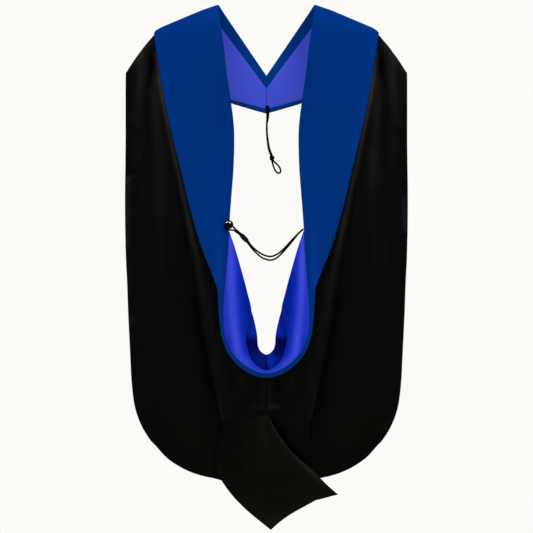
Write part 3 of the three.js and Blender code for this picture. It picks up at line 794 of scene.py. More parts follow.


# Velvet from shaded to lit: the band's tone mask places painted light and painted shade along this ramp.
VELVET = ToneFinish(
    "velvet pile", (0.0, 0.03, 0.2), 0.95, 0.02, gloss_tint=(0.1, 0.4, 1.0), sheen=0.02,
    sheen_roughness=0.4, sheen_tint=(0.02, 0.3, 1.0), pile=0.0005, mottle=0.35, effect="pile",
    stops=((0.0, (0.0002, 0.0230, 0.145)), (0.5, (0.0004, 0.0285, 0.188)),
           (1.0, (0.0006, 0.0345, 0.245))))
# The band's velvet painted lighter on its folded inner side, to make up for the shade it lies in.
LIGHTENED_INNER_VELVET = ToneFinish(
    "folded velvet painted lighter", (0.0, 0.04, 0.24), 0.95, 0.02, gloss_tint=(0.1, 0.4, 1.0), sheen=0.02,
    sheen_roughness=0.4, sheen_tint=(0.02, 0.3, 1.0), pile=0.0005, mottle=0.35, effect="pile",
    stops=((0.0, (0.0004, 0.0420, 0.225)), (1.0, (0.0012, 0.0500, 0.290))))
# Satin from the painted deep shade in the pocket to the painted highlight on the roll, along its tone mask.
SATIN = ToneFinish(
    "violet blue satin", (0.03, 0.06, 0.55), 0.42, 0.03, gloss_tint=(0.5, 0.55, 1.0),
    thread=0.00025, relief=0.000015, crease=0.0008, mottle=0.05,
    stops=((0.0, (0.0001, 0.0004, 0.055)), (0.06, (0.0003, 0.0014, 0.085)),
           (0.2, (0.0005, 0.0165, 0.300)), (0.5, (0.0070, 0.0250, 0.410)),
           (1.0, (0.0355, 0.0550, 0.555))))
# The cowl's satin painted lighter, to make up for the shade inside the front of the neck.
LIGHTENED_NECK_SATIN = ToneFinish(
    "neck satin painted lighter", (0.05, 0.07, 0.55), 0.42, 0.03, gloss_tint=(0.5, 0.55, 1.0),
    thread=0.00025, relief=0.000015, crease=0.0006, mottle=0.6,
    stops=((0.0, (0.0600, 0.0880, 0.640)), (1.0, (0.0780, 0.1080, 0.740))))
LINING = Finish("blue lining cloth", (0.006, 0.007, 0.02), 0.6, 0.05,
                thread=0.00035, relief=0.00003, crease=0.001)
BLACK = BlackFinish("black cape cloth", (1.0, 1.0, 1.0), 0.5, 0.006,
                    thread=0.00045, relief=0.00003, crease=0.0008)
CORD_BLACK = Finish("black braid", (0.0004, 0.0004, 0.0005), 0.7, 0.0)
GLOSS_BLACK = Finish("glossy black", (0.00005, 0.00005, 0.00006), 0.1, 0.06)
SLIDE_BLACK = Finish("moulded black", (0.001, 0.001, 0.0011), 0.4, 0.05)
FINISHES = (VELVET, LIGHTENED_INNER_VELVET, SATIN, LIGHTENED_NECK_SATIN, LINING, BLACK, CORD_BLACK, GLOSS_BLACK,
            SLIDE_BLACK)


class Wardrobe:
    """All materials, built once."""

    def __init__(self) -> None:
        """Build the shared groups and every finish."""
        groups = {"weave": weave_group(), "pile": pile_group(), "handled": handling_group()}
        self.materials = {finish.name: finish.build(groups) for finish in FINISHES}

    def dress(self, piece: bpy.types.Object, finish: Finish) -> None:
        """Give a piece one finish."""
        piece.data.materials.clear()
        piece.data.materials.append(self.materials[finish.name])


def hang(piece: bpy.types.Object, slot: str, *nodes: str) -> None:
    """Hang a piece on the hood's one body, in place of its nodes."""
    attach(piece, "root")
    if nodes:
        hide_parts(*nodes)
    LOG.info("%s: %d faces, slot %s", piece.name, len(piece.data.polygons), slot)


def hang_cloth(wall: Wall, wardrobe: Wardrobe, finish: Finish, cloth: Cloth,
               levels: int = 1) -> bpy.types.Object:
    """Args:
        wall: the wall, named as the node that it replaces.
        wardrobe: the materials.
        finish: its finish.
        cloth: its material slot.
        levels: subdivision levels.

    Returns:
        The piece.
    """
    node = wall.name
    wall.name = f"{node}_cloth"
    piece = wall.build(levels)
    wardrobe.dress(piece, finish)
    hang(piece, cloth.value, node)
    width, length, area = wall.flat_size()
    LOG.info("%s: %.0f by %.0f mm of cloth", node, width / MM, length / MM)
    return piece


# Painted light and painted shade on each piece, as streaks in display levels: lit fold edges and
# highlights, and shade beside folds, under the U and on the tail. The narrow dark lines down the centre of
# the tail and of the pocket are seam lines.
CAPE_STREAKS = (
    Streak(5.1, ((242, 109, 22), (228, 210, 26), (210, 298, 18), (191, 391, 16), (172, 474, 10))),
    Streak(12.1, ((276, 113, 14), (276, 166, 15), (283, 219, 8), (290, 258, 6))),
    Streak(6.6, ((257, 85, 14), (303, 144, 6))),
    Streak(6.6, ((252, 118, -8), (258, 175, -6))),
    Streak(11.7, ((243, 162, 12), (243, 219, 9), (241, 320, 6), (239, 364, 7), (235, 492, 5),
           (235, 566, 1))),
    Streak(11, ((283, 287, 3), (283, 353, 3))),
    Streak(35.2, ((180, 518, -2.5), (149, 650, -4), (109, 881, -4.5), (98, 936, -3))),
    Streak(8.8, ((158, 650, -1.5), (114, 870, -2))),
    Streak(61.6, ((257, 969, -2), (114, 1013, -2))),
    Streak(6.6, ((307, 386, 12), (287, 375, 6)), Side.LEFT),
    Streak(5.5, ((292, 369, -5), (281, 360, -3)), Side.LEFT),
    Streak(4.4, ((290, 336, 5), (281, 329, 6)), Side.LEFT),
    Streak(8.8, ((302, 144, 10), (304, 199, 5)), Side.RIGHT),
    Streak(3.3, ((304, 298, 4), (304, 375, 4)), Side.RIGHT),
    Streak(8.8, ((232, 320, 4), (232, 395, 4)), Side.RIGHT),
    Streak(4.4, ((260, 930, 8), (278, 910, 4)), Side.RIGHT),
)
# Blue at the cape's edge: the lining's own blue showing there, painted onto the black cloth together with
# painted light.
EDGE_GLOW = (
    Streak(7.9, ((307, 386, 14), (307, 529, 14)), Side.LEFT),
    Streak(7.7, ((298, 694, 12), (297, 698, 12)), Side.LEFT),
    Streak(5.5, ((305, 566, 4), (301, 672, 3)), Side.LEFT),
    Streak(7.7, ((304, 426, 12), (307, 492, 18)), Side.RIGHT),
)
COWL_STREAKS = (
    Streak(5.3, ((197, 360, 18), (181, 430, 15), (162, 518, 13), (151, 562, 7), (136, 650, 3))),
    Streak(13.2, ((175, 479, 3), (155, 566, 3), (131, 672, 5), (116, 749, 4.5), (105, 837, 3),
           (94, 910, 2))),
    Streak(3.5, ((171, 551, 1), (138, 727, 3), (120, 815, 4), (103, 888, 6), (98, 914, 5))),
    Streak(10.1, ((153, 514, -3), (109, 624, -4), (105, 716, -3), (89, 760, -2))),
    Streak(6.6, ((59, 813, 3), (54, 844, 1.5))),
    Streak(6.6, ((81, 809, -1.5), (78, 844, -1.5))),
    Streak(11, ((30, 835, -2), (23, 861, -1))),
    Streak(5.3, ((26, 884, 5), (10, 886, 8))),
    Streak(4.4, ((7, 844, 2), (10, 875, 4))),
    Streak(3.5, ((5, 826, 2), (5, 894, 3))),
    Streak(5.3, ((3, 883, 6), (25, 884, 4)), Side.RIGHT),
    Streak(6.6, ((21, 826, -3), (25, 844, -3)), Side.RIGHT),
    Streak(7, ((7, 908, -5), (23, 932, -5), (51, 976, -5), (100, 1028, -5)), Side.RIGHT),
    Streak(22, ((18, 936, -3), (84, 1007, -3)), Side.RIGHT),
    Streak(17.6, ((89, 932, -3), (76, 969, -3)), Side.LEFT),
)
TAIL_STREAKS = (
    Streak(26.4, ((-114, 932, -6), (-63, 958, -5))),
    Streak(22, ((-120, 980, -4), (-70, 1007, -4))),
    Streak(19.8, ((-92, 1024, -2.5), (-48, 1057, -2.5))),
    Streak(5.3, ((7, 912, 6), (21, 932, 10), (36, 958, 12), (67, 993, 11), (98, 1028, 10),
           (148, 1066, 8))),
    Streak(15.4, ((27, 941, 3), (113, 1042, 4))),
    Streak(2.4, ((5, 905, -4), (6, 1000, -3.5), (6, 1118, -3))),
    Streak(30, ((-112, 896, -4), (-40, 890, -3.5))),
    Streak(9, ((-4, 905, 2), (-2, 960, 2))),
    Streak(4.4, ((3, 958, 1.5), (4, 1064, 1.5))),
    Streak(22, ((7, 1134, 3), (-59, 1101, 2))),
    Streak(17.6, ((7, 1145, 4), (117, 1084, 3))),
    Streak(17.6, ((-92, 903, -3), (-59, 914, -3))),
    Streak(4, ((-103, 1020, 4), (-98, 1037, 4))),
)
# Painted light on the velvet over the shoulder, along the outer edge and on the strip beside the U, and
# painted shade along the inner edge.
VELVET_STREAKS = (
    Streak(26.4, ((224, 45, 0.35), (118, 16, 0.5))),
    Streak(15.4, ((235, 78, 0.3), (213, 232, 0.3), (186, 364, 0.15))),
    Streak(17.6, ((105, 122, -0.12), (94, 276, -0.1))),
    Streak(8.8, ((104, 441, 0.15), (107, 617, 0.5))),
    Streak(6.6, ((89, 507, -0.12), (94, 650, -0.1))),
)
# Painted light and painted shade on the satin roll.
SATIN_STREAKS = (
    Streak(9, ((60, 560, 0.12), (52, 600, 0.1))),
    Streak(7, ((84, 735, -0.12), (80, 757, -0.12))),
    Streak(10, ((46, 770, 0.1), (40, 787, 0.12))),
    Streak(6, ((30, 664, -0.03), (24, 700, -0.05))),
)
# Painted light and painted shade on the satin in the pocket, and its dark centre seam line.
UNDER_STREAKS = (
    Streak(4.8, ((8, 765, 0.1), (7, 782, 0.14))),
    Streak(6.6, ((15, 776, 0.06), (10, 795, 0.05))),
    Streak(11, ((23, 738, -0.05), (26, 765, -0.05))),
    Streak(5.3, ((7, 787, 0.14), (14, 795, 0.14)), Side.RIGHT),
    Streak(8.8, ((32, 765, 0.03), (23, 787, 0.04))),
    Streak(1.6, ((0, 776, -0.09), (0, 815, -0.09))),
)


@dataclass
class VelvetBands:
    """The two velvet bands with their folded edges and satin inner sides."""

    facing: tuple[float, ...] = (0.327, 0.226, 0.175, 0.157, 0.158, 0.16)
    hem: tuple[float, ...] = (0.123, 0.085, 0.055, 0.06, 0.08, 0.1, 0.115)
    edge_roll: float = 1.6 * MM
    edge_share: float = 0.35
    clear: float = 0.02
    velvet_grid: tuple[int, int] = (240, 34)
    strip_rows: int = 150

    def lift(self, places: Grid, shares: Grid) -> Grid:
        """Height of the band: its own rise, a crown, and edges that turn down."""
        inner, outer = BAND_INNER.at(places[:, 0]), BAND_OUTER.at(places[:, 0])
        width = np.hypot(inner[:, 0] - outer[:, 0], inner[:, 1] - outer[:, 1])[:, None]
        broad = np.minimum(1.0, width / SIZE.band_width)
        behind = smooth_step(RIDGE_ROW - 1.0, RIDGE_ROW + 3.0, places)
        crown = SIZE.band_crown * broad * np.sin(math.pi * shares) * behind
        return inner[:, 2][:, None] + crown

    def shares(self, count: int) -> Grid:
        """Columns across the band, closer together at both edges."""
        even = np.linspace(0.0, 1.0, count + 1)
        return mix(even, (1 - np.cos(math.pi * even)) / 2, 0.9)

    def velvet(self) -> Wall:
        """The band itself on the left, with its edges rolled down."""
        rows, columns = self.velvet_grid
        places = even_places((BAND_INNER, BAND_OUTER), rows)
        shares = self.shares(columns)
        width = widths(BAND_INNER, BAND_OUTER, places)
        from_edge = np.minimum(shares[None, :], 1 - shares[None, :]) * width
        rolled = np.clip(from_edge / self.edge_roll, 0.0, 1.0)
        top = SIZE.velvet_wall * mix(self.edge_share, 1.0, np.sqrt(1 - (1 - rolled) ** 2))
        return wall_between("velvet_band_left", BAND_INNER, BAND_OUTER, places, shares,
                            self.lift, 0.0, top)

    def strip(self, name: str, start: Sequence[float], end: Sequence[float], last_row: float,
              columns: int) -> Wall:
        """Strip on the band's inner side.

        Args:
            name: the piece's name.
            start: share of the band's width where the strip starts, row by row.
            end: share where it ends; the last value of either holds for all further rows.
            last_row: row number to end at.
            columns: how many columns to cut.

        Returns:
            The left wall.
        """
        places = even_places((BAND_INNER, BAND_OUTER), self.strip_rows, 0.0, last_row)
        low, high = (np.interp(places, np.arange(len(edge)), edge)[:, None] for edge in (start, end))
        shares = mix(low, high, np.linspace(0.0, 1.0, columns + 1)[None, :])
        return wall_between(name, BAND_INNER, BAND_OUTER, places, shares, self.lift,
                            -SIZE.lining_gap - SIZE.lining_wall, -SIZE.lining_gap)

    def build(self, wardrobe: Wardrobe) -> None:
        """Build and dress every piece of both bands."""
        folded_end = RIDGE_ROW + 3.0
        hem = [1.0 - share for share in self.hem]
        facing = self.strip("neck_facing_left", (0.0,), self.facing, folded_end, 8)
        lining = self.strip("band_lining_left", self.facing, hem, LIP_FIRST_ROW - 3.0, 16)
        neck_hem = self.strip("neck_hem_left", hem, (1.0 - self.clear,), folded_end, 4)
        plan = (
            (self.velvet(), VELVET, Cloth.VELVET, "cape", 0.15, VELVET_STREAKS, 0),
            (facing, LIGHTENED_INNER_VELVET, Cloth.VELVET, "velvet_band", 0.15, (), 1),
            (lining, LIGHTENED_NECK_SATIN, Cloth.SATIN, "velvet_band", 0.5, (), 1),
            (neck_hem, LIGHTENED_INNER_VELVET, Cloth.VELVET, "velvet_band", 0.15, (), 1),
        )
        for left, finish, cloth, under, level, streaks, softness in plan:
            for side, wall in left.both_sides():
                # Painted light and painted shade from the streaks go into the tone mask.
                wall.masks["tone"] = streaked(wall.upper, side, level, streaks)
                hang_cloth(wall, wardrobe, finish, cloth,
                           levels=softness)


class CapeRow(NamedTuple):
    """A section of a cape below the band: its hidden root and its free edge."""

    root: float
    root_fall: float
    out: float
    fall: float


class Fold(NamedTuple):
    """A soft fold: across the cape, its width and depth, and from where to where."""

    across: float
    width: float
    depth: float
    start: float
    end: float


@dataclass
class Capes:
    """The black cape panels with their blue lining."""

    shoulder: tuple[tuple[float, float], ...] = (
        (0.94, -0.34), (0.982, -0.13), (1.003, 0.0), (1.003, 0.035), (1.003, 0.13),
        (1.003, 0.335), (1.003, 0.59), (1.003, 0.86), (1.005, 1.2), (1.008, 1.58), (1.007, 2.03))
    body: tuple[CapeRow, ...] = (
        CapeRow(0.596, 0.4015, 1.002, 0.53), CapeRow(0.525, 0.495, 0.993, 0.585),
        CapeRow(0.42, 0.5965, 0.984, 0.65), CapeRow(0.363, 0.7, 0.97, 0.73),
        CapeRow(0.311, 0.765, 0.958, 0.793), CapeRow(0.266, 0.822, 0.936, 0.8415),
        CapeRow(0.214, 0.875, 0.895, 0.8775), CapeRow(0.18, 0.913, 0.835, 0.9085),
        CapeRow(0.156, 0.942, 0.74, 0.942), CapeRow(0.14, 0.966, 0.61, 0.971),
        CapeRow(0.13, 0.983, 0.46, 0.989), CapeRow(0.12, 0.994, 0.311, 1.0))
    folds: tuple[Fold, ...] = (
        Fold(0.34, 0.09, 0.7, 0.15, 0.7), Fold(0.52, 0.07, -0.5, 0.1, 0.85),
        Fold(0.72, 0.09, 1.0, 0.12, 1.0), Fold(0.9, 0.07, -0.6, 0.2, 0.95))
    lining_show: float = 0.7 * MM
    lining_columns: int = 20
    grid: tuple[int, int] = (200, 46)
    tuck: float = 2.0 * MM
    # Display level of the plain black cloth on the capes: its own darkness with the light it gets there;
    # the cowl and the tail get other levels of the same cloth, as painted light.
    level: float = 10.0
    full_glow: float = 10.0

    def tracks(self) -> tuple[Track, Track]:
        """The left cape's root along the band and cowl, and its free edge."""
        rows = []
        seam = BAND_OUTER.rows[CAPE_FIRST_ROW:CAPE_FIRST_ROW + len(self.shoulder)]
        for (out, fall), edge in zip(self.shoulder, seam):
            rows.append([edge[0] + self.tuck, edge[1], -FORM.half_width * out,
                         FORM.back_roll * fall])
        for row in self.body:
            root, out = -FORM.half_width * row.root, -FORM.half_width * row.out
            rows.append([root, FORM.drop_to(root, SIZE.cape_drop * row.root_fall),
                         out, FORM.drop_to(out, SIZE.cape_drop * row.fall)])
        table = np.array(rows)
        return Track(table[:, :2]), Track(table[:, 2:])

    def lift(self, places: Grid, shares: Grid) -> Grid:
        """Height of the cape's soft folds."""
        along = places / (len(self.shoulder) + len(self.body) - 1)
        height = np.zeros_like(along)
        for fold in self.folds:
            middle = np.clip((along - fold.start) / (fold.end - fold.start), 0.0, 1.0)
            height += (SIZE.cape_fold * fold.depth * np.sin(math.pi * middle)
                       * bell(shares, fold.across, fold.width))
        return height - self.tucked_under(places, shares)

    def tucked_under(self, places: Grid, shares: Grid) -> Grid:
        """How far the cape's root sinks under the band's edge."""
        root, free = self.tracks()
        from_root = shares * widths(root, free, places[:, 0])
        sunk = SIZE.cape_wall + SIZE.seam_gap
        return sunk * (1 - smooth_step(self.tuck, self.tuck * 2.2, from_root))

    def build(self, wardrobe: Wardrobe) -> None:
        """Build and dress both capes and their linings."""
        root, free = self.tracks()
        rows, columns = self.grid
        places = even_places((root, free), rows)
        cape = wall_between("cape_left", root, free, places, crowded(columns, 1.5), self.lift,
                            0.0, SIZE.cape_wall)
        reach = FORM.half_width - abs(root.rows[2, 0])
        wider = np.append(np.linspace(0.0, 1.0, self.lining_columns), 1.0 + self.lining_show / reach)
        lining = wall_between("cape_lining_left", root, free, places[::2], wider, self.lift,
                              -SIZE.seam_gap - SIZE.lining_wall, -SIZE.seam_gap)
        for (side, panel), (_, inside) in zip(cape.both_sides(), lining.both_sides()):
            # Painted light and painted shade from the streaks become the cape's albedo; the edge streaks
            # add the lining's blue with painted light on the edge.
            glow = streaked(panel.upper, side, 0.0, EDGE_GLOW)
            level = streaked(panel.upper, side, self.level, CAPE_STREAKS)
            panel.masks = {"tone": albedo_of(level + glow),
                           "glow": np.minimum(glow / self.full_glow, 1.0)}
            hang_cloth(panel, wardrobe, BLACK, Cloth.CAPE)
            hang_cloth(inside, wardrobe, LINING, Cloth.LINING)


class CowlRow(NamedTuple):
    """A section of the cowl beside the band: its fold edge and its rise there."""

    out: float
    fall: float
    crest: float
    edge: float


class FootRow(NamedTuple):
    """A section of the cowl below the U."""

    fall: float
    rise: float
    out: float
    fold_fall: float
    crest: float
    edge: float


@dataclass
class Cowl:
    """The black outer shell of the hood's pouch."""

    sides: tuple[CowlRow, ...] = (
        CowlRow(0.636, 0.31, 0.1, 0.09), CowlRow(0.625, 0.372, 0.25, 0.1),
        CowlRow(0.592, 0.415, 0.33, 0.1), CowlRow(0.553, 0.467, 0.37, 0.1),
        CowlRow(0.523, 0.51, 0.4, 0.1), CowlRow(0.494, 0.554, 0.42, 0.1),
        CowlRow(0.474, 0.588, 0.42, 0.1), CowlRow(0.456, 0.6185, 0.42, 0.1),
        CowlRow(0.437, 0.644, 0.42, 0.1), CowlRow(0.416, 0.67, 0.42, 0.1),
        CowlRow(0.397, 0.692, 0.42, 0.1), CowlRow(0.378, 0.714, 0.42, 0.12),
        CowlRow(0.356, 0.74, 0.42, 0.16))
    foot: tuple[FootRow, ...] = (
        FootRow(0.7375, 0.6, 0.337, 0.7655, 0.38, 0.24),
        FootRow(0.7754, 0.31, 0.314, 0.7917, 0.31, 0.31),
        FootRow(0.7945, 0.31, 0.311, 0.8044, 0.31, 0.31),
        FootRow(0.837, 0.22, 0.318, 0.8325, 0.24, 0.22),
        FootRow(0.873, 0.16, 0.337, 0.864, 0.2, 0.12),
        FootRow(0.891, 0.12, 0.345, 0.876, 0.18, 0.1))
    seam: float = 0.04 * MM
    crease: float = 1.6 * MM
    crease_reach: float = 3 * MM
    tape: tuple[float, float] = (4 * MM, 0.6 * MM)
    tape_gap: float = 0.5 * MM
    tape_tone: float = 0.0015
    crest_share: float = 0.8
    grid: tuple[int, int] = (260, 60)
    tuck: float = 2.0 * MM
    # Display level of the plain black cloth on the cowl: its own darkness with painted light.
    level: float = 8.5

    def tracks(self) -> tuple[Track, Track]:
        """Inner edge with its rise, and fold edge with its edge and crest heights."""
        inner, fold = [], []
        lip = zip(BAND_INNER.rows[COWL_FIRST_ROW:], BAND_OUTER.rows[COWL_FIRST_ROW:])
        for row, (near, edge) in zip(self.sides, lip):
            x = -FORM.half_width * row.out
            inward = (near[:2] - edge[:2]) / np.hypot(*(near[:2] - edge[:2])) * self.tuck
            inner.append([min(edge[0] + inward[0], -self.seam), edge[1] + inward[1], edge[2]])
            fold.append([x, FORM.drop_to(x, SIZE.hood_length * row.fall),
                         SIZE.cowl_swell * row.edge, SIZE.cowl_swell * row.crest])
        for row in self.foot:
            x = -FORM.half_width * row.out
            inner.append([-self.seam, SIZE.hood_length * row.fall, SIZE.cowl_swell * row.rise])
            fold.append([x, FORM.drop_to(x, SIZE.hood_length * row.fold_fall),
                         SIZE.cowl_swell * row.edge, SIZE.cowl_swell * row.crest])
        return Track(inner), Track(fold)

    def build(self, wardrobe: Wardrobe) -> None:
        """Build and dress both halves."""
        inner, fold = self.tracks()

        def lift(places: Grid, shares: Grid) -> Grid:
            """Rise at the lip, a rounded crest, and down at the fold edge."""
            rise = inner.at(places[:, 0])[:, 2:3]
            edge, crest = (fold.at(places[:, 0])[:, k:k + 1] for k in (2, 3))
            climb = mix(rise, crest, np.sin(math.pi / 2 * np.minimum(shares / self.crest_share, 1)))
            beyond = np.clip((shares - self.crest_share) / (1 - self.crest_share), 0.0, 1.0)
            height = np.maximum(mix(climb, edge, beyond ** 2), SIZE.cape_wall + SIZE.seam_gap)
            from_edge = shares * widths(inner, fold, places[:, 0])
            below = smooth_step(len(self.sides) - 2.0, len(self.sides) - 1.0, places)
            sunk = (SIZE.cowl_wall + SIZE.seam_gap) * (1 - below)
            seamed = self.crease * below * np.exp(-from_edge / self.crease_reach)
            return height - sunk * (1 - smooth_step(self.tuck, 2.2 * self.tuck, from_edge)) - seamed

        rows, columns = self.grid
        places = even_places((inner, fold), rows)
        panel = wall_between("cowl_left", inner, fold, places, crowded(columns, 1.4), lift,
                             0.0, SIZE.cowl_wall)
        for side, wall in panel.both_sides():
            # Painted light and painted shade from the streaks go into the cowl's albedo.
            level = streaked(wall.upper, side, self.level, COWL_STREAKS)
            wall.masks = {"tone": albedo_of(level), "glow": 0 * level}
            hang_cloth(wall, wardrobe, BLACK, Cloth.COWL, levels=0)
        self.seam_tape(panel, wardrobe)

    def seam_tape(self, panel: Wall, wardrobe: Wardrobe) -> None:
        """Sew a narrow tape under the centre seam, from the lip down to the tail.

        Args:
            panel: the left half of the cowl.
            wardrobe: the materials.
        """
        seam = panel.under[np.abs(panel.under[:, 0, 0]) < 2 * self.seam, 0]
        half, thick = self.tape
        low, high = (seam + (0.0, depth, 0.0) for depth in (thick + self.tape_gap, self.tape_gap))
        across = np.linspace(-1.0, 1.0, 5)[None, :, None] * np.array((half, 0.0, 0.0))
        tape = Wall("cowl_seam_tape", low[:, None] + across, high[:, None] + across)
        tape.masks = {"tone": np.full(tape.upper.shape[:2], self.tape_tone)}
        piece = tape.build(levels=0)
        wardrobe.dress(piece, BLACK)
        hang(piece, Cloth.COWL.value)


class TailRow(NamedTuple):
    """A section of the tail: its left and right ends and their lifts."""

    left: float
    left_fall: float
    right: float
    right_fall: float
    lift_left: float
    lift_right: float


@dataclass
class Tail:
    """The cowl's squared end, turned to the right."""

    rows: tuple[TailRow, ...] = (
        TailRow(-0.308, 0.795, 0.012, 0.78, 0.0, 0.0), TailRow(-0.325, 0.82, 0.1, 0.824, 0.1, 0.35),
        TailRow(-0.355, 0.86, 0.2, 0.857, 0.1, 0.6), TailRow(-0.338, 0.893, 0.3, 0.881, 0.1, 0.8),
        TailRow(-0.258, 0.928, 0.385, 0.905, 0.1, 0.9), TailRow(-0.147, 0.96, 0.44, 0.92, 0.2, 1.0),
        TailRow(0.031, 1.0, 0.492, 0.9325, 0.3, 1.0))
    pinch_rise: float = 0.31
    twist: float = 22 * MM
    bow: float = 15 * MM
    thin_end: float = 0.1
    grid: tuple[int, int] = (80, 61)
    # Display level of the plain black cloth on the tail: its own darkness with painted light.
    level: float = 12.0

    def build(self, wardrobe: Wardrobe) -> None:
        """Build and dress the tail."""
        left, right = [], []
        for row in self.rows:
            for track, out, fall, lift in ((left, row.left, row.left_fall, row.lift_left),
                                           (right, row.right, row.right_fall, row.lift_right)):
                x = FORM.half_width * out
                track.append([x, FORM.drop_to(x, SIZE.hood_length * fall), self.twist * lift])
        first, second = Track(left), Track(right)
        rows, columns = self.grid
        places = even_places((first, second), rows)
        shares = np.sort(np.append(np.linspace(0.0, 1.0, columns), (0.006, 0.994)))
        start, end = first.at(places)[:, None], second.at(places)[:, None]
        across = shares[None, :]
        x = mix(start[..., 0], end[..., 0], across)
        near_end = smooth_step(len(self.rows) - 2.0, len(self.rows) - 1.0, places)[:, None]
        bow = self.bow * near_end * np.sin(math.pi * across) * (1 - across) ** 2
        drop = mix(start[..., 1], end[..., 1], across) - bow
        base = SIZE.cowl_swell * self.pinch_rise + SIZE.cowl_wall + SIZE.seam_gap
        height = base + mix(start[..., 2], end[..., 2], across)
        thin = mix(self.thin_end, 1.0, smooth_step(0.0, 0.5, places)[:, None])
        wall = Wall("cowl_tail", FORM.raised(x, drop, height),
                    FORM.raised(x, drop, height + SIZE.tail_wall * thin))
        # Painted light and painted shade from the streaks go into the tail's albedo.
        level = streaked(wall.upper, Side.BOTH, self.level, TAIL_STREAKS)
        wall.masks = {"tone": albedo_of(level), "glow": 0 * level}
        hang_cloth(wall, wardrobe, BLACK, Cloth.COWL)


